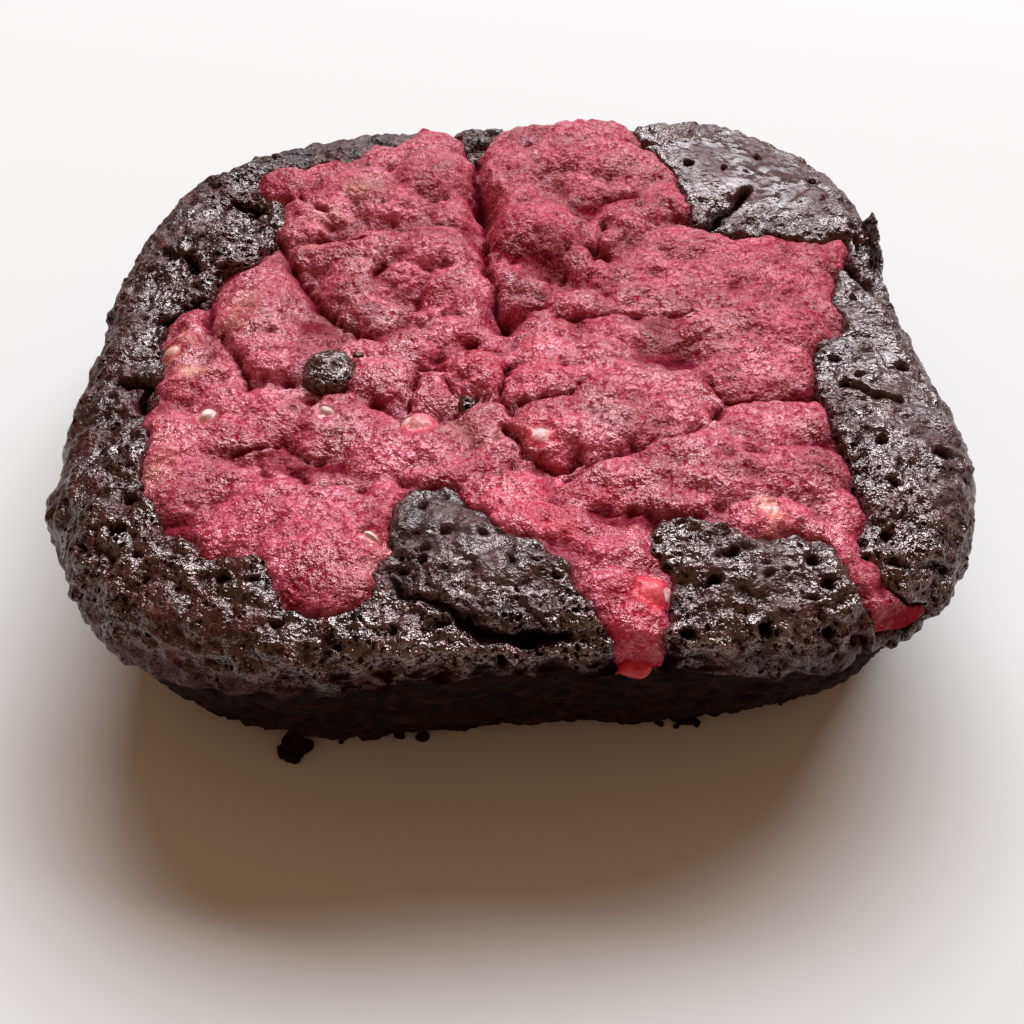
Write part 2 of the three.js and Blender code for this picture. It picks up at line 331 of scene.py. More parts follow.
def makePiece(name, points, quads, triangles, material, layers=None):
    mesh = bpy.data.meshes.new(name)
    placed = (points + (*plan["middle"], 0)) * millimetre
    corner = np.concatenate([quads.ravel(), triangles.ravel()])
    starts = np.concatenate([np.arange(len(quads)) * 4, len(quads) * 4 + np.arange(len(triangles)) * 3])
    mesh.vertices.add(len(placed))
    mesh.loops.add(len(corner))
    mesh.polygons.add(len(starts))
    mesh.vertices.foreach_set("co", placed.astype(np.float32).ravel())
    mesh.loops.foreach_set("vertex_index", corner.astype(np.int32))
    mesh.polygons.foreach_set("loop_start", starts.astype(np.int32))
    mesh.polygons.foreach_set("use_smooth", np.ones(len(starts), bool))
    mesh.update(calc_edges=True)
    mesh.validate()
    for layer, values in (layers or {}).items():
        mesh.attributes.new(layer, "FLOAT", "POINT").data.foreach_set("value", values.astype(np.float32))
    mesh.materials.append(material)
    piece = bpy.data.objects.new(name, mesh)
    bpy.context.scene.collection.objects.link(piece)
    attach(piece, "root")
    print(name, len(quads) * 2 + len(triangles), "triangles")
    return piece


# a closed skin from a grid with a pole above its first row and one below its last; where they aren't
# given, the poles lie in the middle of those rows
def makeBall(name, grid, material, layers, poles=None):
    rows, columns = grid.shape[:2]
    poles = poles or [grid[0].mean(0), grid[-1].mean(0)]
    points = np.concatenate([grid.reshape(-1, 3), poles])
    count = rows * columns
    ends = [fan(np.arange(columns), count, atTop=True), fan(np.arange(count - columns, count), count + 1)]
    padded = {key: np.append(values.ravel(), [0, 0]) for key, values in layers.items()}
    return makePiece(name, points, ringQuads(rows, columns), np.concatenate(ends), material, padded)


# an sRGB hex value as linear light: c / 12.92 below 0.04045, else ((c + 0.055) / 1.055)^2.4
def hexColour(code):
    shares = [int(code[i:i + 2], 16) / 255 for i in (1, 3, 5)]
    return (*[c / 12.92 if c <= 0.04045 else ((c + 0.055) / 1.055) ** 2.4 for c in shares], 1)


# adds one shader node: settings as keywords; an input is a value, a hex colour, a socket to link, or a
# node that gives its first live output
def addNode(tree, kind, inputs=None, **settings):
    node = tree.nodes.new("ShaderNode" + kind)
    for key, value in settings.items():
        setattr(node, key, value)
    for key, value in (inputs or {}).items():
        if isinstance(value, bpy.types.Node):
            value = next(output for output in value.outputs if output.enabled)
        if isinstance(value, bpy.types.NodeSocket):
            tree.links.new(value, node.inputs[key])
        else:
            node.inputs[key].default_value = hexColour(value) if isinstance(value, str) else value
    return node


def newMaterial(name):
    material = bpy.data.materials.new(name)
    material.use_nodes = True
    tree = material.node_tree
    tree.nodes.clear()
    place = addNode(tree, "TexCoord").outputs["Object"]
    return material, tree, place


# a pattern's scale, as waves or cells per metre, for one of so many millimetres
def perMetre(size):
    return 1000 / size


# a sum of values, each times its weight
def weighted(tree, terms):
    total = 0.0
    for value, weight in terms:
        total = addNode(tree, "Math", {0: value, 1: weight, 2: total}, operation="MULTIPLY_ADD")
    return total


# tips a normal by a random amount for each cell of a pattern: normal + tilt * (colour - 1/2), made
# unit length again; every cell then catches the light as one small facet
def facetNormal(tree, normal, colour, tilt):
    moved = addNode(tree, "VectorMath", {0: colour, 1: (tilt,) * 3, 2: (-tilt / 2,) * 3},
                    operation="MULTIPLY_ADD")
    added = addNode(tree, "VectorMath", {0: moved, 1: normal}, operation="ADD")
    return addNode(tree, "VectorMath", {0: added}, operation="NORMALIZE")


# the place shaken by noise, so that patterns read from it lose their regular cells
def shakenPlace(tree, place, size, reach):
    push = addNode(tree, "TexNoise", {"Vector": place, "Scale": perMetre(size), "Detail": 2.0})
    return addNode(tree, "VectorMath", {0: push.outputs["Color"], 1: (reach * millimetre,) * 3, 2: place},
                   operation="MULTIPLY_ADD")


# baked cocoa crust: a thin skin of dried batter over sponge; to the eye near black with red-brown in it,
# small uneven grains that glint, painted shade in the low places between them and in the pinholes where
# bubbles broke, and a painted greyish sheen in places
def bakedCrust():
    look = {
        "dark": "#200a0b", "brown": "#5a2a2c", "pit": "#020101", "paintedSheen": "#7a6e70", "glint": "#ffeae6",
        "patch": 4.0, "relief": 1.5, "grit": 0.6, "pinhole": 1.3,   # sizes in millimetres
        "glitter": 0.4,        # coarser than the real glints, so that they show
        "waveHeight": 0.7, "gritHeight": 0.36, "pinDepth": 0.3, "tilt": 0.7,
        "shine": (0.16, 0.42), "gloss": 1.0,
        "calmGloss": 0.22,     # how much of the gloss is left where the skin held
    }
    material, tree, place = newMaterial("baked cocoa crust")
    layer = {name: addNode(tree, "Attribute", attribute_name=name).outputs["Fac"]
             for name in ("hollow", "paintedSheen", "dull", "calm")}
    patches = addNode(tree, "TexNoise", {"Vector": place, "Scale": perMetre(look["patch"]), "Detail": 4.0,
                                         "Roughness": 0.6})
    relief = addNode(tree, "TexNoise", {"Vector": place, "Scale": perMetre(look["relief"]), "Detail": 3.0,
                                        "Roughness": 0.6})
    grit = addNode(tree, "TexNoise", {"Vector": place, "Scale": perMetre(look["grit"]), "Detail": 2.0,
                                      "Roughness": 0.65})
    glitter = addNode(tree, "TexNoise", {"Vector": place, "Scale": perMetre(look["glitter"]),
                                         "Detail": 1.0}).outputs["Color"]
    calmer = addNode(tree, "MapRange", {"Value": layer["calm"], "To Min": 1.0, "To Max": 0.1})
    # pinholes: only some cells hold one, by the cell's own red value
    hole = addNode(tree, "TexVoronoi", {"Vector": shakenPlace(tree, place, 1.2, 0.7),
                                        "Scale": perMetre(look["pinhole"])})
    lot = addNode(tree, "SeparateColor", {0: hole.outputs["Color"]})
    isHole = addNode(tree, "Math", {0: lot, 1: 0.6}, operation="GREATER_THAN")
    depth = addNode(tree, "MapRange", {"Value": hole, "From Min": 0.16, "From Max": 0.24, "To Min": 1.0,
                                       "To Max": 0.0})
    pin = addNode(tree, "Math", {0: isHole, 1: depth}, operation="MULTIPLY")
    pin = addNode(tree, "Math", {0: pin, 1: calmer}, operation="MULTIPLY")
    share = addNode(tree, "MapRange", {"Value": patches, "From Min": 0.38, "From Max": 0.62})
    base = addNode(tree, "Mix", {0: share, 6: look["dark"], 7: look["brown"]}, data_type="RGBA")
    # painted sheen: a greyish colour laid on where the crust takes a grazing reflection
    withPaintedSheen = addNode(tree, "Mix", {0: layer["paintedSheen"], 6: base, 7: look["paintedSheen"]}, data_type="RGBA")
    # low places between the grains get little light
    gap = addNode(tree, "MapRange", {"Value": grit, "From Min": 0.5, "From Max": 0.36, "To Max": 0.85})
    cavity = addNode(tree, "MapRange", {"Value": relief, "From Min": 0.46, "From Max": 0.34, "To Max": 0.75})
    low = addNode(tree, "Math", {0: gap, 1: cavity}, operation="MAXIMUM")
    low = addNode(tree, "Math", {0: low, 1: calmer}, operation="MULTIPLY")
    # painted shade: pinholes, hollows and the low places between grains are darkened towards near black
    deep = addNode(tree, "Math", {0: pin, 1: layer["hollow"]}, operation="MAXIMUM")
    darkest = addNode(tree, "Math", {0: deep, 1: low}, operation="MAXIMUM")
    colour = addNode(tree, "Mix", {0: darkest, 6: withPaintedSheen, 7: look["pit"]}, data_type="RGBA")
    dry = weighted(tree, [(patches, 1.0), (layer["dull"], 1.0), (layer["calm"], 0.15)])
    rough = addNode(tree, "MapRange", {"Value": dry, "From Min": 0.42, "From Max": 0.8,
                                       "To Min": look["shine"][0], "To Max": look["shine"][1]})
    # nothing shines from inside a hole or a gap, and little does where the skin held
    gloss = addNode(tree, "MapRange", {"Value": darkest, "From Max": 0.7, "To Min": look["gloss"],
                                       "To Max": 0.0})
    quiet = addNode(tree, "MapRange", {"Value": layer["calm"], "To Min": 1.0, "To Max": look["calmGloss"]})
    gloss = addNode(tree, "Math", {0: gloss, 1: quiet}, operation="MULTIPLY")
    # the shine comes in clusters of a few millimetres
    cluster = addNode(tree, "MapRange", {"Value": dry, "From Min": 0.45, "From Max": 0.68, "To Min": 1.0,
                                         "To Max": 0.3})
    gloss = addNode(tree, "Math", {0: gloss, 1: cluster}, operation="MULTIPLY")
    height = weighted(tree, [(relief, look["waveHeight"]), (grit, look["gritHeight"]),
                             (pin, -look["pinDepth"])])
    height = addNode(tree, "Math", {0: height, 1: calmer}, operation="MULTIPLY")
    bumps = addNode(tree, "Bump", {"Height": height, "Distance": millimetre, "Strength": 1.0})
    faceted = facetNormal(tree, bumps, glitter, look["tilt"])
    faceted = addNode(tree, "Mix", {0: layer["calm"], 4: faceted, 5: bumps}, data_type="VECTOR")
    shader = addNode(tree, "BsdfPrincipled", {
        "Base Color": colour, "Roughness": rough, "Normal": faceted, "IOR": 1.9,
        "Specular IOR Level": gloss, "Specular Tint": look["glint"]})
    addNode(tree, "OutputMaterial", {"Surface": shader})
    return material


# torn brownie crumb: open sponge with no skin; dark, dry and rough, red-brown where light gets in
def brownieCrumb():
    look = {"dark": "#080101", "brown": "#44180f", "pit": "#010000", "wave": 1.4, "speck": 0.5}
    material, tree, place = newMaterial("torn brownie crumb")
    hollow = addNode(tree, "Attribute", attribute_name="hollow").outputs["Fac"]
    sponge = addNode(tree, "TexNoise", {"Vector": place, "Scale": perMetre(look["wave"]), "Detail": 6.0,
                                        "Roughness": 0.7})
    specks = addNode(tree, "TexVoronoi", {"Vector": place, "Scale": perMetre(look["speck"])})
    share = addNode(tree, "MapRange", {"Value": sponge, "From Min": 0.46, "From Max": 0.74})
    base = addNode(tree, "Mix", {0: share, 6: look["dark"], 7: look["brown"]}, data_type="RGBA")
    # painted shade: the crumb's hollows are darkened towards near black
    colour = addNode(tree, "Mix", {0: hollow, 6: base, 7: look["pit"]}, data_type="RGBA")
    rolls = addNode(tree, "Bump", {"Height": sponge, "Distance": 0.7 * millimetre, "Strength": 1.0})
    grit = addNode(tree, "Bump", {"Height": specks, "Distance": 0.12 * millimetre, "Strength": 1.0,
                                  "Normal": rolls}, invert=True)
    shader = addNode(tree, "BsdfPrincipled", {"Base Color": colour, "Roughness": 0.85, "Normal": grit,
                                              "IOR": 1.3})
    addNode(tree, "OutputMaterial", {"Surface": shader})
    return material


# red velvet cookie: dyed, sugary crumb with a thin baked skin; rose where it is dry, deep crimson in the
# creases, partly its own and partly painted shade; pale flecks, partly sugar grains and partly painted
# glints; and greyish patches, partly cocoa stains and partly painted sheen
def velvetCookie():
    look = {
        "rose": "#e4637a", "crimson": "#9e1030", "deep": "#56061a", "stain": "#8c4a58", "paleFleckAndGlint": "#fbd0d4",
        "gold": "#dc9c78", "scarlet": "#e8384a", "cream": "#f6cfc4", "glint": "#ffd2d6",
        "patch": 5.5, "crumb": 0.8, "crack": 1.6, "cluster": 4.5,   # sizes in millimetres
        "glitter": 0.34,       # coarser than the real sugar grains, so that they show
        "crumbHeight": 0.5, "tilt": 0.6, "shine": (0.18, 0.42), "gloss": 1.0,
    }
    material, tree, place = newMaterial("red velvet crumb")
    layer = {name: addNode(tree, "Attribute", attribute_name=name).outputs["Fac"]
             for name in ("hollow", "stain", "warmth", "blush", "pale", "calm", "dry")}
    patches = addNode(tree, "TexNoise", {"Vector": place, "Scale": perMetre(look["patch"]), "Detail": 5.0,
                                         "Roughness": 0.6})
    crumb = addNode(tree, "TexNoise", {"Vector": place, "Scale": perMetre(look["crumb"]), "Detail": 3.0,
                                       "Roughness": 0.65})
    glitter = addNode(tree, "TexNoise", {"Vector": place, "Scale": perMetre(look["glitter"]),
                                         "Detail": 1.0}).outputs["Color"]
    share = addNode(tree, "MapRange", {"Value": patches, "From Min": 0.4, "From Max": 0.62, "To Min": 1.0,
                                       "To Max": 0.0})
    base = addNode(tree, "Mix", {0: share, 6: look["rose"], 7: look["crimson"]}, data_type="RGBA")
    # painted shade: where the crumb's relief is low it is darkened towards crimson
    crumbShade = addNode(tree, "MapRange", {"Value": crumb, "From Min": 0.52, "From Max": 0.34, "To Max": 0.7})
    # a broken net of thin cracks along the borders of larger cells, painted darker as the shade inside them
    net = addNode(tree, "TexVoronoi", {"Vector": shakenPlace(tree, place, 1.0, 0.5),
                                       "Scale": perMetre(look["crack"])}, feature="DISTANCE_TO_EDGE")
    line = addNode(tree, "MapRange", {"Value": net, "From Min": 0.02, "From Max": 0.1, "To Min": 0.6,
                                      "To Max": 0.0})
    broken = addNode(tree, "MapRange", {"Value": patches, "From Min": 0.44, "From Max": 0.56})
    crack = addNode(tree, "Math", {0: line, 1: broken}, operation="MULTIPLY")
    darker = addNode(tree, "Math", {0: crumbShade, 1: crack}, operation="MAXIMUM")
    withCrumbShade = addNode(tree, "Mix", {0: darker, 6: base, 7: look["crimson"]}, data_type="RGBA")
    # pale flecks where the finest noise is highest: part the sugar grains' own colour, part painted glints
    lot = addNode(tree, "SeparateColor", {0: glitter})
    isPaleFleckAndGlint = addNode(tree, "MapRange", {"Value": lot.outputs[0], "From Min": 0.58, "From Max": 0.75,
                                         "To Max": 0.4})
    last = addNode(tree, "Mix", {0: isPaleFleckAndGlint, 6: withCrumbShade, 7: look["paleFleckAndGlint"]}, data_type="RGBA")
    # tints: stains with painted sheen, warmth, blush with painted shade at the tails, pale, painted shade
    for name, tint in (("stain", "stain"), ("warmth", "gold"), ("blush", "scarlet"), ("pale", "cream"),
                       ("hollow", "deep")):
        last = addNode(tree, "Mix", {0: layer[name], 6: last, 7: look[tint]}, data_type="RGBA")
    sheen = addNode(tree, "MapRange", {"Value": lot.outputs[1], "From Min": 0.35, "From Max": 0.65,
                                       "To Min": look["shine"][0], "To Max": look["shine"][1]})
    calmer = addNode(tree, "MapRange", {"Value": layer["calm"], "To Min": 1.0, "To Max": 0.15})
    height = addNode(tree, "Math", {0: crumb, 1: look["crumbHeight"]}, operation="MULTIPLY")
    height = addNode(tree, "Math", {0: height, 1: calmer}, operation="MULTIPLY")
    bumps = addNode(tree, "Bump", {"Height": height, "Distance": millimetre, "Strength": 1.0})
    faceted = facetNormal(tree, bumps, glitter, look["tilt"])
    # creases and low places don't shine, which leaves them their full red
    low = addNode(tree, "Math", {0: darker, 1: layer["hollow"]}, operation="MAXIMUM")
    dry = addNode(tree, "MapRange", {"Value": layer["dry"], "To Min": look["gloss"], "To Max": 0.35})
    gloss = addNode(tree, "MapRange", {"Value": low, "From Max": 0.65, "To Min": dry, "To Max": 0.0})
    # the shine comes in clusters of a few millimetres
    wet = addNode(tree, "TexNoise", {"Vector": place, "Scale": perMetre(look["cluster"]), "Detail": 2.0})
    cluster = addNode(tree, "MapRange", {"Value": wet, "From Min": 0.42, "From Max": 0.6, "To Min": 0.35})
    gloss = addNode(tree, "Math", {0: gloss, 1: cluster}, operation="MULTIPLY")
    shader = addNode(tree, "BsdfPrincipled", {
        "Base Color": last, "Roughness": sheen, "Normal": faceted, "IOR": 1.9,
        "Specular IOR Level": gloss, "Specular Tint": look["glint"]})
    addNode(tree, "OutputMaterial", {"Surface": shader})
    return material


# white chocolate: smooth cocoa butter and sugar, cream coloured and waxy, dyed by the batter
# where it is wet
def whiteChocolate():
    look = {"cream": "#f9e0d6", "dyed": "#c01424", "toast": "#f0b084", "cloud": 1.8}
    material, tree, place = newMaterial("white chocolate")
    dye = addNode(tree, "Attribute", attribute_name="dye").outputs["Fac"]
    clouds = addNode(tree, "TexNoise", {"Vector": place, "Scale": perMetre(look["cloud"]), "Detail": 4.0})
    share = addNode(tree, "MapRange", {"Value": clouds, "From Min": 0.5, "From Max": 0.75, "To Max": 0.5})
    base = addNode(tree, "Mix", {0: share, 6: look["cream"], 7: look["toast"]}, data_type="RGBA")
    colour = addNode(tree, "Mix", {0: dye, 6: base, 7: look["dyed"]}, data_type="RGBA")
    dents = addNode(tree, "Bump", {"Height": clouds, "Distance": 0.2 * millimetre, "Strength": 0.6})
    shader = addNode(tree, "BsdfPrincipled", {"Base Color": colour, "Roughness": 0.42, "Normal": dents,
                                              "IOR": 1.46})
    addNode(tree, "OutputMaterial", {"Surface": shader})
    return material


crustFinish = bakedCrust()
crumbFinish = brownieCrumb()
cookieFinish = velvetCookie()
chocolateFinish = whiteChocolate()
print("materials made")


# the crust: a ring from under the cookie's edge, over the shoulder and down to a ragged skirt
crust = {
    "columns": 900, "topRows": 74, "sideRows": 31, "hiddenRows": 5,
    "tuck": 2.6,           # how far the ring goes on under the cookie
    "drop": 5.0,           # and how deep it lies there
    "sideLength": 8.0,     # length of the shoulder's curve
    "skirt": (1.5, 0.86),  # how far the skirt comes down, in shoulder lengths: sides, front
    "curl": 1.5,           # how far its last rows curl in
    "under": (13.2, 5.5),  # level of the hidden underside, and how much higher it is at the front
    "mostHeld": 0.92,      # the skin is never quite unbroken
    # relief: height and size in millimetres
    "lump": (0.5, 8.0), "fold": (0.55, 4.2), "blister": (0.6, 2.2), "pimple": (0.4, 1.1),
    "streak": (0.3, 1.6), "grit": (0.3, 1.5), "shred": (0.6, 1.5), "tear": (0.3, 0.9),
    "bubble": 1.9,         # cell of the scattered bubbles; about half the cells hold one
    "holeDepth": 1.2,
    # open bubbles: x, y, radius
    "holes": [
        (-10.5, -31.3, 0.6), (-6, -31.5, 0.8), (-8.3, -35.3, 0.45), (-4.7, -35.8, 0.6), (-3, -35.2, 0.5),
        (-10.5, -38.3, 0.6), (-5.5, -39.3, 0.4), (-2, -39.3, 0.4), (2, -40.8, 0.55), (-8.2, -29.9, 0.4),
        (14.5, -34.5, 0.5), (18.5, -39.2, 1.0), (13.4, -47, 0.9), (16.5, -42, 0.8), (20.5, -46.9, 0.9),
        (26, -40.5, 0.6), (30.5, -46.4, 0.6), (26.5, -46.6, 0.6), (16.8, -36.6, 0.4),
        (18.9, -38.7, 0.5), (26.1, -40, 0.7), (21.8, -40.4, 0.45), (17.2, -39.4, 0.4), (23.4, -41.1, 0.4),
        (-40, -32.3, 1.0), (-29, -38.8, 0.9), (-26, -39.5, 0.6), (-34, -36.2, 0.5), (-23.5, -44.3, 0.7),
        (-31.1, 22.5, 0.8), (-34.6, 27.4, 0.7), (-35.3, 23.2, 0.6), (-33, 16.1, 0.5), (-35.9, 17.4, 0.5),
        (36.5, -9.8, 0.8), (44, -11.7, 1.0), (43.5, -26, 1.4), (37.5, -24.3, 0.8), (38.5, -13, 0.7),
        (42, 1.8, 0.6), (43, 27.5, 1.2), (26.8, 33, 0.8), (31.5, 31.5, 0.6), (32, 18.5, 0.8), (37, 35, 0.8),
    ],
    # folds and tears: width, depth, points
    "folds": [
        (0.45, 1.4, [(-7.6, -45.0), (-5, -46.0), (-2, -46.5), (0.8, -46.6), (2.6, -46.2)]),
        (0.6, 1.6, [(-43.5, 15.3), (-40.5, 14.8), (-39.5, 13), (-38.5, 11)]),
        (0.5, 1.2, [(-38, 5.5), (-42, 1.5)]),
        (0.6, 1.5, [(-45, -9), (-40.5, -10), (-42, -13.5)]),
        (0.5, 1.2, [(-37.5, 29.5), (-35, 28.2), (-33.5, 27.2)]),
        (0.5, 1.1, [(-37, 24.8), (-34.5, 23.5), (-32, 21.8)]),
        (0.5, 1.4, [(36.5, -14), (39, -17), (41.5, -17)]),
        (0.6, 1.5, [(25.8, 18.6), (27.7, 19.8), (29.8, 21.7), (32, 23.9), (34, 25.6)]),
        (1.0, 2.6, [(43.5, 14.5), (43, 9), (44, 6), (45.5, 4)]),
        (0.9, 2.4, [(46.5, 14.5), (46.5, 11), (46.2, 8)]),
        (0.5, 0.7, [(-13.5, -40), (-12, -42), (-9.5, -43.4), (-7.6, -45.0)]),
    ],
    # x, y, half lengths and rise of the bulges, then the same with a share: where the skin held, where a
    # greyish sheen is painted on, and where it is duller (or, below 0, glossier)
    "bulges": [(-49.5, -26, 4, 4, 0.5), (-1, -48.9, 8, 1.2, 0.5), (22, -48, 8, 1.5, 0.5)],
    "smooth": [
        (33, 34, 13, 12, 1.0), (-46, 26, 7, 14, 0.6), (40, 24, 8, 8, 0.5), (-22, 44, 20, 6, 0.6),
        (42, -11, 8, 22, 0.65), (-9, -32, 5, 4.5, 0.6), (-4, -38, 6, 5, 0.45), (21, -40, 11, 7, 0.4),
        (-30, -44, 16, 7, 0.35), (-46, -22, 6, 16, 0.3), (-44, -2, 6, 12, 0.35),
    ],
    "withPaintedSheen": [
        (34, 32, 14, 12, 0.08), (45, -24, 8, 14, 0.3), (42, 4, 6, 14, 0.3), (-34, 22, 4, 5, 0.35),
        (-6, -36, 9, 9, 0.4), (22, -39, 9, 6, 0.25), (-1, -48.6, 9, 1.5, 0.35), (20, -48, 9, 2, 0.25),
    ],
    "matte": [
        (-48, 12, 10, 30, 0.15), (-26, 42, 24, 8, 0.3), (-50, -20, 8, 20, 0.05), (-8, -31, 6, 4, 0.2),
        (-12, -37, 2.5, 5, 0.2), (-4, -44.5, 7, 1.2, 0.25), (-1, -48.4, 9, 1.5, -0.25),
        (20, -48, 10, 2, -0.2),
    ],
}


# rows: out over the top from the hidden rim, round the quarter ellipse of the shoulder, down the
# wall's sine, then back in underneath; columns go once round the plan
def crustGrid(angle):
    outer = planRadius(angle, 1.0)
    width = shoulderWidth(angle)
    rim = (1 - width) * outer
    inner = np.minimum(edgeReach(angle, np.minimum, 99.0) - crust["tuck"], rim - 3)
    share = (np.arange(crust["topRows"]) / crust["topRows"])[:, None]
    radius = inner + (rim - inner) * share
    top = polar(radius, angle, 0)
    top[..., 2] = bedHeight(top[..., 0], top[..., 1])
    rimZ = bedHeight(rim * np.cos(angle), rim * np.sin(angle))
    sides, front = crust["skirt"]
    widest = polar(outer, angle, 0)
    reach = sides + (front - sides) * nearness(angle, *plan["frontWall"])
    reach = reach + 0.06 * ripple(widest, 7.0, 41) + 0.05 * ripple(widest, 2.2, 42)
    q = np.linspace(0, 1, crust["sideRows"])[:, None] * reach
    turn = np.clip(1 - q, 0, 1) * quarterTurn
    below = np.maximum(q - 1, 0) * crust["sideLength"]
    lift = 1 - below / plan["belly"]
    wallShare = plan["foot"] + (1 - plan["foot"]) * np.sin(lift * quarterTurn)
    sideShare = np.where(q < 1, 1 - width * (1 - np.cos(turn)), wallShare)
    sideRadius = sideShare * planRadius(angle, lift)
    sideZ = plan["belly"] + (rimZ - plan["belly"]) * np.sin(turn) - below
    return np.concatenate([top, polar(sideRadius, angle, sideZ)])


# the cookie's own space: inside its edge and above its lip at the rim
def cookieSpace(points):
    lip = plan["lip"] + 0.5 * ripple(points, 2.5, 35)
    lip = lip - spotted(points[..., 0], points[..., 1], plan["tails"])
    return np.minimum(insideCookie(points), (points[..., 2] - lip) * 1.2)


# lumps, rolled folds |wave|, blisters and pimples 0.4 - q^2 about scattered points, streaks and grit,
# nearly all weaker where the skin held; then folds, holes and bubbles cut in; also each place's painted
# shade
def crustRelief(angle, base, held):
    x, y, z = base[..., 0], base[..., 1], base[..., 2]
    warped = base + 0.8 * shake(base, 3.0, 51)
    # the flow runs along the rim, so streaks are about twice as long round the plan as across it
    flow = np.stack([angle * plan["halfSide"] / 2.1 + 0 * x, np.hypot(x, y), z * 1.2], axis=-1)
    blister, _, tag = grains(warped, crust["blister"][1], 55)
    pimple, _, _ = grains(warped, crust["pimple"][1], 56)
    fold = np.abs(ripple(warped, crust["fold"][1], 58)) * 1.6 - 0.35
    height = waves(crust["lump"], base, 57)
    height += crust["fold"][0] * fold * (1 - 0.6 * held)
    height += crust["blister"][0] * (0.4 - blister ** 2) * (0.2 + 1.3 * tag) * (1 - held)
    height += crust["pimple"][0] * (0.4 - pimple ** 2) * (1 - 0.6 * held)
    height += waves(crust["streak"], flow, 59) * (1 - 0.7 * held)
    height += waves(crust["grit"], warped, 60, 2) * (1 - 0.5 * held)
    # the torn lip at the front: level waves, three times as long as they are high
    atLip = nearness(angle, *plan["frontLip"])
    height += climb(22.0, 19.5, z) * atLip * waves(crust["shred"], base * (0.5, 0.5, 1.5), 66, 2)
    height += spotted(x, y, crust["bulges"])
    # painted shade: low places darker by how far they lie below their surroundings
    hollow = np.clip((blurred(height, 4) - height) * 1.6 - 0.12, 0, 0.85)
    # below the lip the skin gives way to torn crumb, painted dark as the shadow there
    torn = climb(0.5, 0.25, normalsOf(base)[..., 2] + 0.25 * ripple(base * (1, 1, 0.4), 1.8, 67))
    torn *= climb(21.5, 20.5, z) * atLip
    streaks = ripples(base * (0.35, 0.35, 1.4), crust["tear"][1], 68, 2)
    height += crust["tear"][0] * torn * streaks
    hollow = np.maximum(hollow, torn * np.clip(0.74 + 0.5 * streaks, 0.35, 0.95))
    # folds: a groove exp(-(distance / width)^2), and holes: a flat-bottomed bowl with steep sides
    onTop = climb(15.5, 18.5, z)
    # painted shade: the folds' grooves and the holes' bowls are painted dark inside
    for width, depth, line in crust["folds"]:
        away = distanceToLine(warped[..., 0], warped[..., 1], line)
        groove = np.exp(-(away / width) ** 2) * onTop
        height -= depth * groove
        hollow = np.maximum(hollow, 0.92 * climb(0.25, 0.8, groove))
    ragged = 0.25 * ripple(base, 1.0, 61)
    for hx, hy, radius in crust["holes"]:
        away = np.hypot(x - hx, (y - hy) * 1.3) / radius / 0.85
        bowl = (1 - climb(0.7, 1.1, away + ragged)) * onTop
        height -= crust["holeDepth"] * min(1, 0.5 + radius) * bowl
        hollow = np.maximum(hollow, bowl)
    # more bubbles, scattered, but few where the skin held; painted dark inside as shade
    spread, _, lot = grains(warped * (0.85, 1.15, 0.6), crust["bubble"], 62)
    size = np.clip(lot - 0.45, 0, 1) * 0.6
    popped = (1 - climb(0.7, 1.2, spread / (size + 1e-3))) * (size > 0.03)
    popped *= (1 - climb(0.2, 0.6, held)) * onTop
    return height - popped, np.maximum(hollow, popped * 0.95)


# rows that close the ring out of sight, from the skirt back to the hidden rim, and low between them
def crustUnder(angle, skirt, rim):
    level, higher = crust["under"]
    rows = []
    for share in np.arange(1, crust["hiddenRows"] + 1) / (crust["hiddenRows"] + 1):
        low = level + higher * nearness(angle, *plan["frontWall"]) * (1 - share) ** 2
        ring = skirt + (rim - skirt) * share
        ring[:, 2] = np.where(share < 0.9, np.minimum(low, ring[:, 2] - 1.0), ring[:, 2])
        rows.append(ring)
    return np.array(rows)


def makeCrust():
    columns = crust["columns"]
    angle = np.arange(columns) / columns * 2 * math.pi
    base = crustGrid(angle)
    x, y = base[..., 0], base[..., 1]
    held = np.clip(spotted(x, y, crust["smooth"]), 0, crust["mostHeld"])
    height, hollow = crustRelief(angle, base, held)
    # under the cookie the crust falls away; at its edge it is a little rounded
    depthIn = cookieSpace(base)
    height *= 1 - climb(0, 1.5, depthIn)
    height -= 0.3 * np.exp(-np.abs(np.minimum(depthIn, 0)) / 0.6) + np.clip(2.6 * depthIn, 0, crust["drop"])
    curl = crust["curl"] * climb(0.86, 1.0, np.linspace(0, 1, crust["sideRows"]))
    height[crust["topRows"]:] -= curl[:, None]
    skin = base + normalsOf(base) * height[..., None]
    grid = np.concatenate([skin, crustUnder(angle, skin[-1], skin[0])])
    quads = np.concatenate([ringQuads(len(grid), columns), closingQuads(len(grid), columns)])
    # painted sheen: greyish where the crust takes a grazing reflection, broken up by waves
    paintedSheen = np.clip(spotted(x, y, crust["withPaintedSheen"]), 0, 0.8)
    paintedSheen *= np.clip(0.75 + 0.7 * ripple(base, 3.0, 63), 0, 1.2)
    dull = spotted(x, y, crust["matte"]) + 0.12 * ripple(base, 9.0, 64)
    dull += 0.15 * climb(19.5, 18.0, base[..., 2])
    layers = {"hollow": hollow, "paintedSheen": paintedSheen, "dull": dull, "calm": held}
    hidden = np.zeros((crust["hiddenRows"], columns))
    layers = {key: np.concatenate([value, hidden]).ravel() for key, value in layers.items()}
    piece = makePiece("baked_crust", grid.reshape(-1, 3), quads, np.zeros((0, 3), int), crustFinish, layers)
    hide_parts("brownie_base")


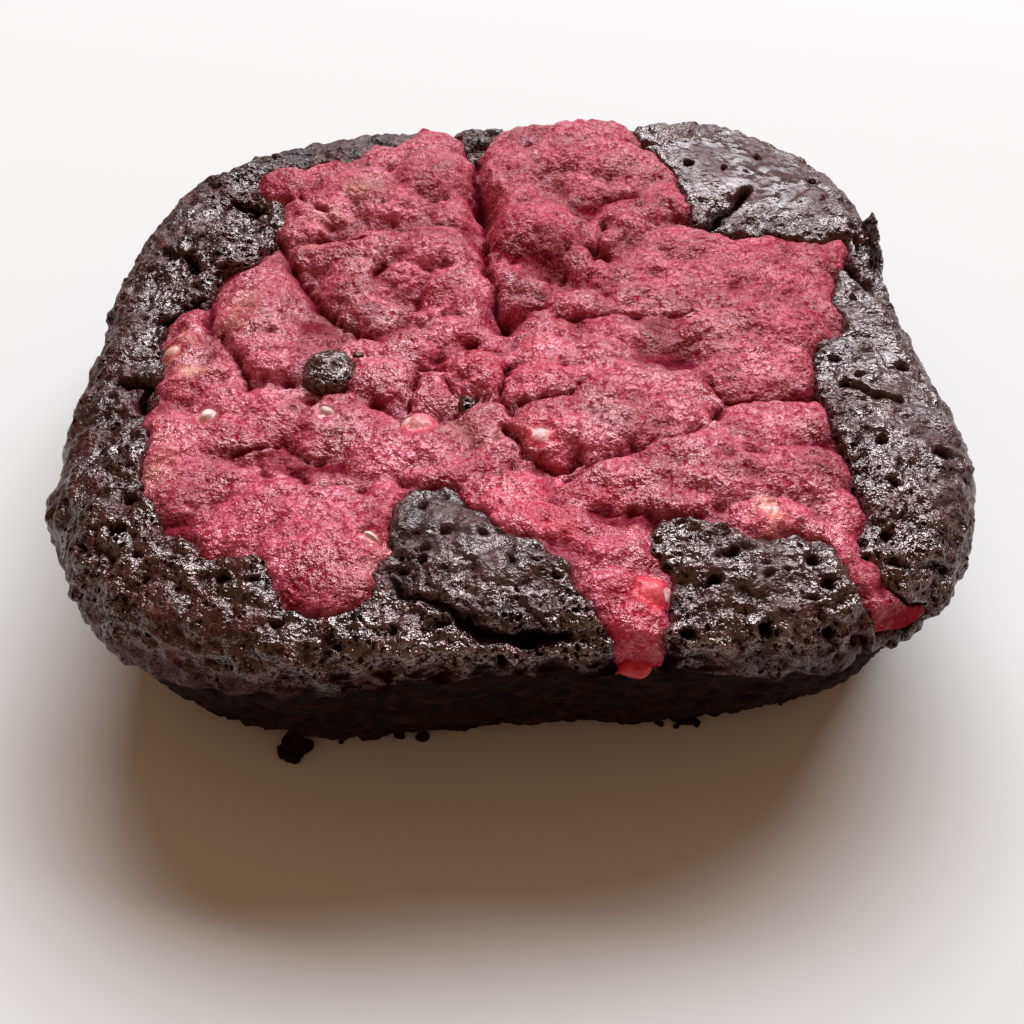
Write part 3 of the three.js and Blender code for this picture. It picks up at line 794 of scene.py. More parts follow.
# joins the last row back to the first, which closes a ring all round
def closingQuads(rows, columns):
    last = (rows - 1) * columns + np.arange(columns)
    first = np.arange(columns)
    return np.stack([last, first, np.roll(first, -1), np.roll(last, -1)], axis=-1)


makeCrust()


# the crumb below the crust: the bare wall, the ragged foot and the flat underside
crumb = {
    "columns": 1000, "wallRows": 62, "capRows": 4, "soleRows": 9,
    "top": (14.6, 5.6),    # level where the wall ends under the crust, and how much higher at the front
    "cap": 13.0,           # level of its hidden top
    "inset": 0.9,          # how far it stands behind the crust's skirt
    "frontInset": 1.6,     # and at the front, under the lip
    # relief: height and size in millimetres
    "lump": (0.5, 7.0), "tear": (0.75, 2.4), "sponge": (0.45, 1.7), "grit": (0.16, 1.0),
    "bite": (0.9, 3.4),    # how ragged the foot is
}


# rows: over the hidden top, down the wall's sine to the foot, and in over the sole
def makeCrumb():
    columns = crumb["columns"]
    angle = np.arange(columns) / columns * 2 * math.pi
    atFront = nearness(angle, *plan["frontWall"])
    topZ = crumb["top"][0] + crumb["top"][1] * atFront
    t = np.linspace(0, 1, crumb["wallRows"])[:, None]
    z = topZ * (1 - t)
    lift = np.clip(z / plan["belly"], 0, 1)
    above = np.clip((z - plan["belly"]) / (plan["top"] - plan["belly"]), 0, 1)
    share = plan["foot"] + (1 - plan["foot"]) * np.sin(lift * quarterTurn)
    share = share - shoulderWidth(angle) * (1 - np.sqrt(1 - above ** 2))
    inset = (crumb["inset"] + (crumb["frontInset"] - crumb["inset"]) * atFront) * climb(0.15, 0.75, lift)
    radius = share * planRadius(angle, lift) - inset
    wall = polar(radius, angle, z)
    outward = normalsOf(wall)
    # tears run level: the waves are three times as long round the plan as they are high
    level = wall * (0.45, 0.45, 1.4)
    height = waves(crumb["lump"], wall, 71)
    height += crumb["tear"][0] * (0.35 - np.abs(ripple(level, crumb["tear"][1], 72)) * 1.3)
    pores, _, tag = grains(wall * (0.8, 0.8, 1.1), crumb["sponge"][1], 73)
    height -= crumb["sponge"][0] * (1 - climb(0.15, 0.6, pores)) * (0.3 + tag)
    height += waves(crumb["grit"], wall, 74, 2)
    bite = np.clip(ripples(wall * (1, 1, 0), crumb["bite"][1], 76, 3) - 0.05, 0, 1)
    height -= crumb["bite"][0] * bite * (1 - climb(0, 2.4, z))
    # painted shade: low places darker by how far they lie below their surroundings
    hollow = np.clip((blurred(height, 4) - height) * 1.5, 0, 0.9)
    tuck = climb(0.97, 1.0, t)
    wall = wall + outward * (height - 0.5 * tuck)[..., None]
    wall[..., 2] = np.maximum(wall[..., 2], 0.0)
    wall[-1, :, 2] = 0.0
    cap = []
    for step in np.arange(crumb["capRows"], 0, -1) / (crumb["capRows"] + 1):
        ring = wall[0] * (1 - step, 1 - step, 1)
        ring[:, 2] = wall[0, :, 2] + (crumb["cap"] - wall[0, :, 2]) * climb(0, 0.5, step)
        cap.append(ring)
    sole = []
    for step in np.arange(1, crumb["soleRows"] + 1) / (crumb["soleRows"] + 1):
        sole.append(wall[-1] * (1 - step ** 1.5, 1 - step ** 1.5, 1))
    grid = np.concatenate([np.array(cap), wall, np.array(sole)])
    shade = np.concatenate([np.zeros((len(cap), columns)), hollow, np.zeros((len(sole), columns))])
    piece = makeBall("brownie_crumb", grid, crumbFinish, {"hollow": shade},
                     poles=[(0, 0, crumb["cap"]), (0, 0, 0)])
    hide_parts("brownie_base")


makeCrumb()


# the cookie: a lumpy sheet over the bed, closed by a bowl-shaped floor
cookie = {
    "steps": 300, "sideRows": 5,
    "reach": 0.984,         # the sheet's furthest as a share of the plan's radius, short of the rim
    "further": [(280, 7, 0.013), (309, 6, 0.0146)],   # its tails run over it: direction, spread, share
    "sink": 0.65,           # how far the gaps between lobes lie below the bed
    "under": (15.3, 4.4),   # level of its floor in the middle, and how much higher at its edge
    "overlap": 2.4,         # how far the sheet goes on under the brownie
    "lobeLift": 0.34,       # a lobe's rise as a share of its size
    "meltInto": 0.15,       # how softly lobes run together
    "floor": 0.0,           # level of the gaps between lobes
    "flatter": (-27, -24, 17, 19, 0.4),   # x, y, half lengths and by what share the lobes there are lower
    # relief: height and size in millimetres
    "wave": (0.22, 3.4), "nub": (0.35, 2.7), "crumb": (0.4, 1.25), "grit": (0.16, 1.4),
    # how uneven each tint is: its mean share, how much that varies and the size of the waves
    "uneven": {"stain": (0.8, 0.8, 2.2), "warmth": (0.7, 0.9, 1.8), "blush": (0.9, 0.7, 2.0)},
    # lobes: x, y, half lengths along X and Y, and a rise where it isn't the usual one
    "lobes": [
        (10, 30, 5, 4, 0.9), (16, 29, 4, 3.5, 0.9), (5, 43, 6, 4), (13, 43, 7, 5), (19, 42, 3, 3),
        (1.5, 33, 4.5, 6), (1, 37, 4, 7), (9, 38, 5, 5),
        (15, 36, 6, 5), (20, 33, 4, 5), (22.5, 30, 2.5, 3), (4, 20, 6.5, 5.5, 1.5), (2, 27.5, 3.5, 2.5),
        (22, 25.5, 3.5, 3, 1.0), (17, 21.5, 4, 4), (13, 17, 2.5, 3), (24, 15, 5, 3.5, 1.0),
        (33, 13, 6, 4, 0.9), (38, 11, 4.5, 4, 0.7), (43, 13, 1.5, 1.5), (17, 10, 4, 4, 0.8),
        (23, 8.5, 5, 4, 0.75), (29, 8, 5, 5, 0.65), (35, 6.5, 5, 4, 0.85), (16, 4, 4, 3.5, 0.7),
        (24, 3, 5, 4, 0.55),
        (32, 1, 6, 4.5, 0.6), (38, 2, 3, 3, 0.6), (-1, 9, 2.5, 3.5), (3.5, 7, 2, 2),
        (2, 3.5, 2, 1.5), (9.5, 12, 2, 3), (11.5, 9, 1.5, 3), (8, 3, 3.5, 3),
        (-30, 33, 4, 4.5), (-24, 36, 4, 3), (-17, 38, 4.5, 4), (-10, 41, 5, 5), (-9, 33, 6, 6),
        (-20, 31, 5, 5), (-25, 26, 5, 4), (-15, 26, 5, 4), (-6.5, 24, 3, 3.5), (-27, 21.5, 3, 3),
        (-17, 16, 5, 3.5), (-9, 15, 5.5, 4.5), (-24, 15.5, 4, 2.5), (-5, 13, 3, 4), (-20, 11, 3, 3),
        (-13.5, 9.5, 3, 2.5), (-19, 6.5, 4, 3), (-6, 6, 4.5, 4.5), (-17, 2, 3.5, 3), (-10, 1.5, 2.5, 1.8),
        (-3.5, 2, 2.5, 3.5), (-30.5, 2, 4.8, 9.5, 1.2), (-38.5, 1.5, 2, 3), (-38, -4, 2.5, 4),
        (-36, -9, 3.5, 3), (-32, -13, 3.5, 3), (-37, -19, 4, 4), (-31, -19, 4.5, 3.5), (-35, -26, 4, 4),
        (-27, -15, 3.5, 4), (-28, -6.5, 3, 3.5), (-17.5, -5, 2.5, 2.5), (-12.5, -4.5, 3, 3.2),
        (-7, -1.5, 3, 2.5), (-2.5, -3, 2, 2.5), (-4.3, -9.5, 3.6, 3.4, 1.2), (-9, -12.5, 3, 3),
        (-15, -10, 4, 3.5), (-20, -17.5, 4.5, 4.5), (-15, -21, 4, 4), (-9.5, -21.5, 4, 3),
        (-4, -18, 2.5, 3.5), (-3.5, -24, 3, 2.5), (-8, -25.5, 4, 2), (-30, -25.5, 4, 2.5),
        (-24, -29, 7, 4), (-21, -35, 8, 6.5, 1.0), (-29, -32, 3.5, 3.5), (-18, -41, 4, 2.5),
        (-14.5, -30, 2, 4), (-2, -29.5, 4, 3.5), (-0.5, -33, 4, 2.5), (3.5, -2, 3.5, 3),
        (3.5, -7, 3.5, 3.5), (3, -12, 3.8, 3.4), (10, -6.5, 3.5, 3.5), (12, -3, 4, 3),
        (13, -14, 8.5, 5, 1.2), (5, -17, 4, 2.5), (11, -19, 5, 2.5), (8, -21, 6, 3), (27, -9, 6, 5.5, 1.0),
        (33, -4, 4, 4), (30, -2, 4, 4), (24, -3, 4, 3), (1.8, -21, 3.6, 4.3, 1.2), (18, -19, 3.5, 3),
        (26, -20, 6, 4, 0.9), (31, -19.5, 2.5, 3.5), (17, -24, 6, 3), (10, -27, 6, 3), (6, -29, 3, 2.5),
        (20, -28, 6, 3.5), (28, -28, 5, 3.5), (14, -31, 5, 2), (31, -33, 2.5, 3), (24, -33.5, 4, 2.5),
        (29, -37, 2.5, 2.5), (3, -33.5, 3.5, 2.5), (8, -37, 3.5, 3), (8, -42, 3, 2.5), (9, -46, 2.8, 3),
        (9, -49.6, 2.6, 1.3, 0.9),
        (31.5, -41, 1.6, 2), (33, -45, 2.5, 2), (36.3, -43.5, 1.8, 1.8),
    ],
    # creases: width, depth, points
    "creases": [
        (1.0, 1.6, [(-3.5, 36.5), (-3.5, 30), (-3, 26)]),
        (1.3, 2.0, [(-3, 27), (-2.5, 22), (-2.5, 17), (-3, 12), (-2, 7), (-1.5, 3)]),
        (0.8, 2.8, [(-1.2, 2.4), (-0.9, 0.2)]),
        (0.7, 1.1, [(-25, 19.5), (-20, 18), (-15, 19), (-10, 19), (-6, 18.5), (-3, 17)]),
        (1.0, 1.5, [(-30, 20), (-29, 17), (-28, 14.5), (-25.5, 10), (-23.5, 5.5), (-21.5, 3), (-20, 0),
                    (-17, -2)]),
        (0.8, 1.2, [(-37, 8), (-36, 2), (-34.5, -2), (-32.5, -6), (-31, -9), (-29.5, -11)]),
        (0.6, 0.9, [(-28, -22), (-26, -26)]),
        (0.7, 1.0, [(-24, -24.5), (-21, -27), (-17, -27.5)]),
        (0.4, 1.1, [(-0.4, -9), (-1.0, -10.5), (-1.5, -12), (-1.7, -14), (-1.5, -17)]),
        (0.4, 0.9, [(-8.2, -11.5), (-6.8, -13.8), (-4, -14.6), (-1.7, -15)]),
        (0.32, 1.2, [(-1, -15.6), (2, -15.2), (6, -14.5), (7, -13)]),
        (0.6, 1.3, [(15, -10), (18, -10.5), (21, -11), (23.2, -16), (21, -19)]),
        (0.6, 1.0, [(4, -27), (8, -25), (13, -23), (16, -23), (20, -20), (22, -18.5)]),
        (0.6, 1.1, [(-1.5, -20), (0, -24), (3, -26), (6, -25)]),
        (0.6, 1.4, [(23.5, -15.8), (28, -16.2), (33, -15.4)]),
        (0.5, 0.7, [(5, -31), (9.5, -32), (12, -33)]),
        (0.6, 0.9, [(10, 15), (12, 14.5), (13, 20)]),
        (0.5, 0.8, [(-24, 24), (-27, 27), (-28, 30)]),
        (0.5, 0.8, [(-8, -9), (-11, -8), (-12, -15)]),
        (0.5, 0.8, [(-7, -16.5), (-12, -18), (-16, -14)]),
        (0.5, 0.7, [(-21, -23), (-26, -20), (-30, -22)]),
        (0.5, 0.8, [(6, 0), (12, 0.5), (18, 0.5), (22, -0.5)]),
    ],
    # pits: x, y, half lengths, depth
    "pits": [
        (8, 28.5, 2, 1.6, 0.8), (14, 25.5, 5, 1.6, 0.5), (10.5, 22.5, 2, 1.5, 1), (8, 30, 2, 2, 0.8),
        (-16.5, 11, 1.1, 1.1, 1.3), (-12, 3.8, 1.5, 1.5, 0.9), (-30, 28.5, 1.4, 1, 0.8),
        (6.5, 10.5, 2, 1.5, 1.2), (6, 7.5, 1.5, 1.2, 0.8), (18.5, -8.5, 3, 2, 1.3),
        (23.5, -28.5, 1.6, 1, 0.7), (28, 4.5, 1.4, 1, 0.7), (30, 1, 1.4, 1, 0.7), (19, 8, 1.5, 1.2, 0.7),
        (41.5, 8, 1, 1, 0.6), (12.2, 13.5, 1.4, 1.2, 0.9), (-28.5, -9.5, 1.2, 1, 0.9),
        (-26, -10, 1.2, 1, 0.9), (-5, -4, 1.5, 1, 1.2), (24, 21, 2, 1, 1.1), (-9, -6.5, 1.2, 1, 1.0),
        (-20, 18, 1.5, 0.8, 0.9), (-12.5, -26.5, 1.2, 0.8, 0.7), (-23, -13, 1.2, 1.4, 0.8),
    ],
    # red patches in shade: x, y, half lengths, share
    "shaded": [
        (-34, -29, 3, 5, 0.4), (-18, -41.5, 6, 2.5, 0.4), (-15, -33, 1.5, 4, 0.3), (-30, -21.5, 6, 1, 0.3),
        (-22, -24.5, 6, 1.2, 0.4), (-19, 7, 5, 2, 0.3), (10, 24.5, 6, 1.6, 0.25), (4, 14, 6, 2.5, 0.35),
        (30, -14, 6, 1.5, 0.35), (17, -9, 4, 2.5, 0.4), (31, -27, 3, 4, 0.3), (22, -27, 5, 1.5, 0.25),
        (12, -33, 6, 1.5, 0.3), (33, -41, 3, 4, 0.35), (-26, 6, 2, 4, 0.3), (-24, 0, 3, 1.5, 0.3),
        (41, -46.5, 5, 4, 0.55),
    ],
    # tints: x, y, half lengths, share
    # cocoa stains, some of them greyish patches of painted sheen
    "stain": [
        (-24, 12, 4, 2.5, 0.3), (-17, 2, 3, 2.5, 0.7), (15.5, -2, 4, 2.5, 0.4), (1.5, -1.5, 2.5, 2.5, 0.5),
        (3, 6, 3, 3, 0.6), (-4, -17, 3, 3, 0.55), (-20, -17.5, 4, 4, 0.35), (-12, 33, 9, 8, 0.25),
        (16, 14, 6, 4, 0.3), (9, -20, 8, 3, 0.3), (-22, -10, 5, 4, 0.3), (33, -30, 3, 8, 0.25),
    ],
    "warmth": [
        (-18.5, 29, 3, 3, 0.5), (-23, 23, 3, 2, 0.45), (-32, 2, 2.5, 5, 0.4), (-38, -22, 2.5, 4, 0.3),
        (-37.5, -25.5, 1.5, 1.5, 0.4), (-25.5, 17, 2, 1.5, 0.4), (-36.5, -8.7, 1.8, 1.6, 0.8),
        (-15.5, 41.5, 2, 1, 0.6), (23.4, -33.7, 1.3, 2.2, 0.95), (-7, -18.5, 2.5, 2, 0.35),
        (-3, -21, 3, 1.5, 0.35), (-14.5, -38, 1.2, 2, 0.6), (-22, 1.5, 1.5, 2.5, 0.35),
        (-39, -3, 2.5, 3, 0.3), (-39.5, -5.2, 1.4, 1.8, 0.5),
    ],
    "blush": [
        (-1.5, -31, 4, 3, 0.4), (3, -35, 3, 3, 0.35), (0, -28, 5, 2, 0.25), (9, -42, 3, 3.5, 0.3),
        (9, -47, 3, 3, 0.45), (9, -50, 3, 1.2, 0.4), (8, -30, 4, 2, 0.3), (-14, -36, 1.5, 3, 0.35),
        (-31, -34, 2, 2, 0.35),
        (3, -6, 5, 7, 0.35), (-5, -9, 3.5, 3.5, 0.35), (4, 19, 4, 3, 0.2), (31, -36, 2, 3, 0.3),
        (2, -20.5, 3, 3, 0.45), (-12, 5, 4, 1.4, 0.4), (25, -34, 5, 1.5, 0.3),
    ],
}

# how each chip shows: how far it stands proud of the cookie around it and how far it was dragged; x and
# y from its middle, half lengths and turn of the opening over it; how far the batter has dyed it, how
# far its white shows through the film, and how red the film is; most are narrower than their nodes
chips = {
    1: {"proud": 0.3, "moved": (0.3, -1.0), "opening": None, "dye": 0.35, "veil": 0.6, "film": 0.15,
        "shows": 0.5, "share": 0.75},
    2: {"proud": 0.15, "moved": (0.4, -0.8), "opening": (0, 0, 0.75, 1.1, -25), "dye": 0.0, "veil": 0.2,
        "film": 0.1},
    3: {"proud": 0.15, "moved": (0.3, -0.8), "opening": (0, 0, 0.6, 1.1, 60), "dye": 0.1, "veil": 0.3,
        "film": 0.1},
    4: {"proud": 0.4, "moved": (-0.3, -0.8), "opening": (-1.6, 0.3, 0.5, 1.3, -35), "dye": 0.15,
        "veil": 0.3, "film": 0.35, "share": 1.0},
    5: {"proud": 0.3, "moved": (-0.4, -1.2), "opening": None, "dye": 0.1, "veil": 0.6, "film": 0.5,
        "shows": 0.4, "share": 0.75},
    6: {"proud": 0.1, "moved": (0.5, -0.4), "opening": (0.1, 0.3, 0.32, 1.7, 48), "dye": 0.0, "veil": 0.2,
        "film": 0.2, "share": 0.75},
    7: {"proud": 0.3, "moved": (0, -1.6), "opening": None, "dye": 0.1, "veil": 0.35, "film": 0.1,
        "shows": 0.6, "share": 0.7},
    8: {"proud": 0.7, "moved": (-0.2, -1.2), "opening": (1.9, 0.5, 0.35, 1.1, -10), "dye": 0.25,
        "veil": 0.1, "film": 0.85},
    # the last lies bare on the lip, flattened and shifted
    9: {"bare": True, "moved": (0, 0), "opening": None, "flattened": (1.2, 0.6, 0.7),
        "shifted": (0.2, 0.15, -1.2)},
}


# brownie batter baked on the cookie: how far it stands proud, how uneven it is; the speck has no node
drops = {
    "batter_drop_large": {"node": "brownie_drop_large", "moved": (0.2, -0.5), "share": 1.08, "proud": 1.8,
                          "rough": 0.3, "rows": 84},
    "batter_drop_small": {"node": "brownie_drop_small", "moved": (0.3, -0.2), "share": 0.9, "proud": 0.6,
                          "rough": 0.2, "rows": 44},
    "batter_speck": {"node": None, "place": (-18.0, -6.2), "half": (0.8, 0.7), "proud": 0.35, "rough": 0.15,
                     "rows": 30},
}


# the corners of a node's box, in millimetres about the plan's middle
def nodeBox(node):
    return [np.array(corner) / millimetre - (*plan["middle"], 0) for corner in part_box(node)]


# a drop's middle and half lengths; its top is known once the cookie is made
def dropBox(look):
    if look["node"]:
        low, high = nodeBox(look["node"])
        middle = (low + high) / 2 + (*look["moved"], 0)
        half = (high - low) / 2 * (look["share"], look["share"], 1)
    else:
        middle = np.array([*look["place"], 0.0])
        half = np.array([*look["half"], 0.7])
    middle[2] = look.get("top", 24.0) - half[2]
    return middle, half


# the same for a chip, which ends below its node's top
def chipBox(number):
    look = chips[number]
    low, high = nodeBox(f"white_chocolate_chip_{number}")
    high[2] = min(high[2], look.get("top", high[2]))
    share = look.get("share", 0.88)
    return (low + high) / 2 + (*look["moved"], 0), (high - low) / 2 * (share, share, 1)


# 0 over the middle of a chip or drop and 1 at its rim, growing with the square of the distance
def overBall(x, y, middle, half):
    return ((x - middle[0]) / half[0]) ** 2 + ((y - middle[1]) / half[1]) ** 2


# ln of the sum of exp(lobe / softness), times the softness: a soft greatest of rise * (1 - q^3)
def lobeHeight(x, y):
    soft = cookie["meltInto"]
    flatter = cookie["flatter"]
    total = np.full(x.shape, math.exp(cookie["floor"] / soft))
    for lobe in cookie["lobes"]:
        rise = lobe[4] if len(lobe) > 4 else 0.18 + cookie["lobeLift"] * math.sqrt(lobe[2] * lobe[3])
        rise = rise * (1 - flatter[4] * spot(lobe[0], lobe[1], flatter))
        q2 = ((x - lobe[0]) / lobe[2] / 1.2) ** 2 + ((y - lobe[1]) / lobe[3] / 1.2) ** 2
        total += np.exp(np.maximum(rise * (1 - q2 ** 1.5), -3) / soft)
    return soft * np.log(total)


# height of the bed where it rolls over the shoulder: belly + (top - belly) * sqrt(1 - s^2)
def rolledBed(x, y):
    angle = np.arctan2(y, x)
    width = shoulderWidth(angle)
    s = np.clip((np.hypot(x, y) / planRadius(angle, 1.0) - 1 + width) / width, 0, 0.999)
    return plan["belly"] + (bedHeight(x, y) - plan["belly"]) * np.sqrt(1 - s ** 2)


# how far out of a chip's opening a place is: 0 at its middle and 1 at its ragged edge
def openingShare(points, middle, opening):
    c, s = math.cos(math.radians(opening[4])), math.sin(math.radians(opening[4]))
    dx = points[..., 0] - middle[0] - opening[0]
    dy = points[..., 1] - middle[1] - opening[1]
    shaken = 0.25 * ripple(points * (1, 1, 0), 0.9, 92)
    return np.hypot((dx * c + dy * s) / opening[2], (dy * c - dx * s) / opening[3]) + shaken


# the sheet's points before it gets its height: a square of them drawn out to the sheet's outline
def flatSheet():
    line = np.linspace(-1, 1, cookie["steps"])
    u, v = np.meshgrid(line, line)
    angle = np.arctan2(v, u)
    reach = edgeReach(angle % (2 * math.pi), np.maximum, 0.0) + cookie["overlap"]
    further = sum(more * nearness(angle, way, spread) for way, spread, more in cookie["further"])
    reach = np.minimum(reach, (cookie["reach"] + further) * planRadius(angle, 1.0))
    # rings of points, closer together towards the rim, where the tails turn down
    ring = np.maximum(np.abs(u), np.abs(v))
    radius = reach * (ring + 0.8 * ring ** 7 * (1 - ring))
    # where the sheet is under the brownie near the rim, it is drawn in
    nearRim = climb(0.8, 0.94, radius / planRadius(angle, 1.0))
    covered = climb(-0.2, -2.0, insideCookie(polar(radius, angle, 0)))
    return polar(radius * (1 - 0.08 * covered * nearRim), angle, 0)


# lobes, waves, nubs and crumbs 0.35 - q^2 about scattered points, and grit; then creases
# exp(-distance / width) and pits cut in; also each place's painted shade, part of it the crumb's deeper red
def cookieRelief(flat, wx, wy):
    lobes = lobeHeight(wx, wy)
    height = lobes - cookie["sink"]
    height += waves(cookie["wave"], flat, 85)
    shaken = flat + 0.4 * np.stack([ripple(flat, 1.6, 86), ripple(flat, 1.6, 87), 0 * wx], -1)
    nubs, _, tag = grains(shaken, cookie["nub"][1], 96)
    height += cookie["nub"][0] * (0.35 - nubs ** 2) * (0.3 + tag)
    crumbs, _, tag = grains(shaken, cookie["crumb"][1], 88)
    height += cookie["crumb"][0] * (0.35 - crumbs ** 2) * (0.4 + 1.2 * tag)
    height += waves(cookie["grit"], flat, 89, 2)
    # painted shade in the gaps between lobes
    hollow = 0.45 * climb(0.3, 0.0, lobes)
    torn = climb(-0.35, 0.1, ripple(flat, 4.0, 98))
    for width, depth, line in cookie["creases"]:
        away = distanceToLine(wx, wy, line)
        groove = np.exp(-away / width * 1.3)
        groove *= np.clip(0.8 + 0.6 * ripple(flat, 3.0, 90), 0.2, 1.2)
        crack = np.exp(-(away / 0.26) ** 2) * torn   # the skin has split along parts of a crease
        height -= depth * (groove + 0.3 * crack)
        # painted shade in the creases and along the splits
        hollow = np.maximum(hollow, 0.7 * min(1.2, depth) * climb(0.3, 0.9, groove))
        hollow = np.maximum(hollow, 0.85 * crack)
    for pit in cookie["pits"]:
        bowl = spot(wx, wy, pit)
        height -= pit[4] * bowl
        hollow = np.maximum(hollow, 0.5 * min(1.3, pit[4]) * climb(0.25, 1.0, bowl))
    sunk = blurred(height, 5, goesRound=False) - height
    return height, np.clip(np.maximum(hollow, sunk * 1.5 - 0.08), 0, 0.88)


# the film melted over the chips, with openings cut in it: its height, painted shade, and how pale, calm and
# red it is; each chip learns here how high the cookie stands about it
def coverChips(flat, surface, hollow):
    x, y = flat[..., 0], flat[..., 1]
    pale, calm, dyed = np.zeros((3, *x.shape))
    for number, look in chips.items():
        if look.get("bare"):
            continue
        q2 = overBall(x, y, *chipBox(number))
        look["top"] = surface[(q2 > 0.6) & (q2 < 2.0)].mean() + look["proud"]
        middle, half = chipBox(number)
        chipTop = middle[2] + half[2] * np.sqrt(np.clip(1 - q2, 0, 1))
        film = chipTop + 0.1 + 0.06 * ripple(flat, 0.9, 91)
        over = q2 < 1
        blend = np.clip(0.5 + (film - surface) / 0.9, 0, 1)
        surface = np.where(over, surface + (film - surface) * blend + 0.22 * blend * (1 - blend), surface)
        hollow = hollow * (1 - 0.9 * blend * over)
        pale = np.maximum(pale, look["veil"] * (1 - climb(0.1, look.get("shows", 0.75), q2)))
        calm = np.maximum(calm, 1 - climb(0.6, 1.1, q2))
        dyed = np.maximum(dyed, look["film"] * (1 - climb(0.7, 1.2, q2)))
        if look["opening"]:
            q = openingShare(flat, middle, look["opening"])
            cut = chipTop + 0.1 - 0.5 * (1 - climb(0.85, 1.15, q))
            surface = np.where(over & (q < 1.15), np.minimum(surface, cut), surface)
            pale = np.maximum(pale, 0.8 * look["veil"] * (1 - climb(1.0, 1.7, q)))
    return surface, hollow, pale, calm, dyed


# below the sheet's edge: down a little, then in along the bowl-shaped floor to its middle; gives all
# the points, the quads and the triangles about the middle
def closedSheet(sheet):
    steps = cookie["steps"]
    index = np.arange(steps * steps).reshape(steps, steps)
    quads = [np.stack([index[:-1, :-1], index[:-1, 1:], index[1:, 1:], index[1:, :-1]], -1).reshape(-1, 4)]
    edge = np.concatenate([index[0, :-1], index[:-1, -1], index[-1, :0:-1], index[:0:-1, 0]])
    rimPoints = sheet.reshape(-1, 3)[edge]
    level, higher = cookie["under"]
    rings = []
    for step in range(1, cookie["sideRows"] + 1):
        share = 1 - 0.02 * step if step < 3 else 1 - 0.25 * (step - 2)
        ring = rimPoints * (share, share, 1)
        if step < 3:
            ring[:, 2] -= 0.5 * step
        else:
            ring[:, 2] = np.minimum(ring[:, 2] - 1.4, level + higher * share ** 4)
        rings.append(ring)
    count = len(edge)
    first = steps * steps
    ahead = np.roll(np.arange(count), -1)
    here = first + np.arange(count)
    quads.append(np.stack([edge, here, first + ahead, edge[ahead]], -1))
    quads.append(ringQuads(len(rings), count, first))
    pole = first + count * len(rings)
    points = np.concatenate([sheet.reshape(-1, 3), np.concatenate(rings), [(0, 0, level)]])
    return points, np.concatenate(quads), fan(np.arange(pole - count, pole), pole)


def makeCookie():
    flat = flatSheet()
    x, y = flat[..., 0], flat[..., 1]
    bed = rolledBed(x, y)
    wx = x + 0.7 * ripple(flat, 3.4, 81) + 0.3 * ripple(flat, 1.3, 82)
    wy = y + 0.7 * ripple(flat, 3.4, 83) + 0.3 * ripple(flat, 1.3, 84)
    height, hollow = cookieRelief(flat, wx, wy)
    surface, hollow, pale, calm, dyed = coverChips(flat, bed + height, hollow)
    for look in drops.values():
        under = overBall(x, y, *dropBox(look)) < 1.5
        look["top"] = surface[under].mean() + look["proud"]
    # painted shade: where the tails turn down over the rim they are painted a deeper red
    overRim = climb(21.8, 20.2, bed)   # the tails are deep red where they turn down
    shaded = spotted(wx, wy, cookie["shaded"]) + 0.45 * overRim
    hollow = np.clip(hollow + shaded * (1 - calm), 0, 0.88)
    # it goes down where it meets the brownie, and on under it
    depthIn = cookieSpace(np.stack([x, y, bed], axis=-1))
    surface -= 0.5 * np.exp(-np.maximum(depthIn, 0) / 0.7) + np.clip(-2.2 * depthIn, 0, 3.2)
    tints = {}
    for seed, (key, (mean, varies, size)) in enumerate(cookie["uneven"].items(), 93):
        uneven = np.clip(mean + varies * ripple(flat, size, seed), 0, 1)
        tints[key] = np.clip(spotted(wx, wy, cookie[key]), 0, 0.9) * uneven
    # the blush where the tails turn down is painted shade too
    tints["blush"] = np.maximum(tints["blush"], np.maximum(dyed, 0.5 * overRim))
    # the crumb is drier towards the back right
    dry = climb(-14, 24, 0.5 * x + y + 4 * ripple(flat, 9.0, 97))
    dry = np.maximum(dry, 0.8 * calm)
    layers = {"hollow": hollow, "pale": pale, "calm": calm, "dry": dry, **tints}
    points, quads, triangles = closedSheet(np.stack([x, y, surface], axis=-1))
    hidden = np.zeros(len(points) - flat.shape[0] * flat.shape[1])
    layers = {key: np.append(value.ravel(), hidden) for key, value in layers.items()}
    piece = makePiece("velvet_cookie", points, quads, triangles, cookieFinish, layers)
    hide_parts("red_velvet_cookie")


makeCookie()


# a ball: x = a sin(p) cos(t), y = b sin(p) sin(t), z = c cos(p); also the grid of unit directions
def ballGrid(middle, half, rows, columns):
    p = (np.arange(1, rows + 1) / (rows + 1) * math.pi)[:, None]
    t = (np.arange(columns) / columns * 2 * math.pi)[None, :]
    unit = np.stack([np.sin(p) * np.cos(t), np.sin(p) * np.sin(t), np.cos(p) + 0 * t], axis=-1)
    return middle + unit * half, unit


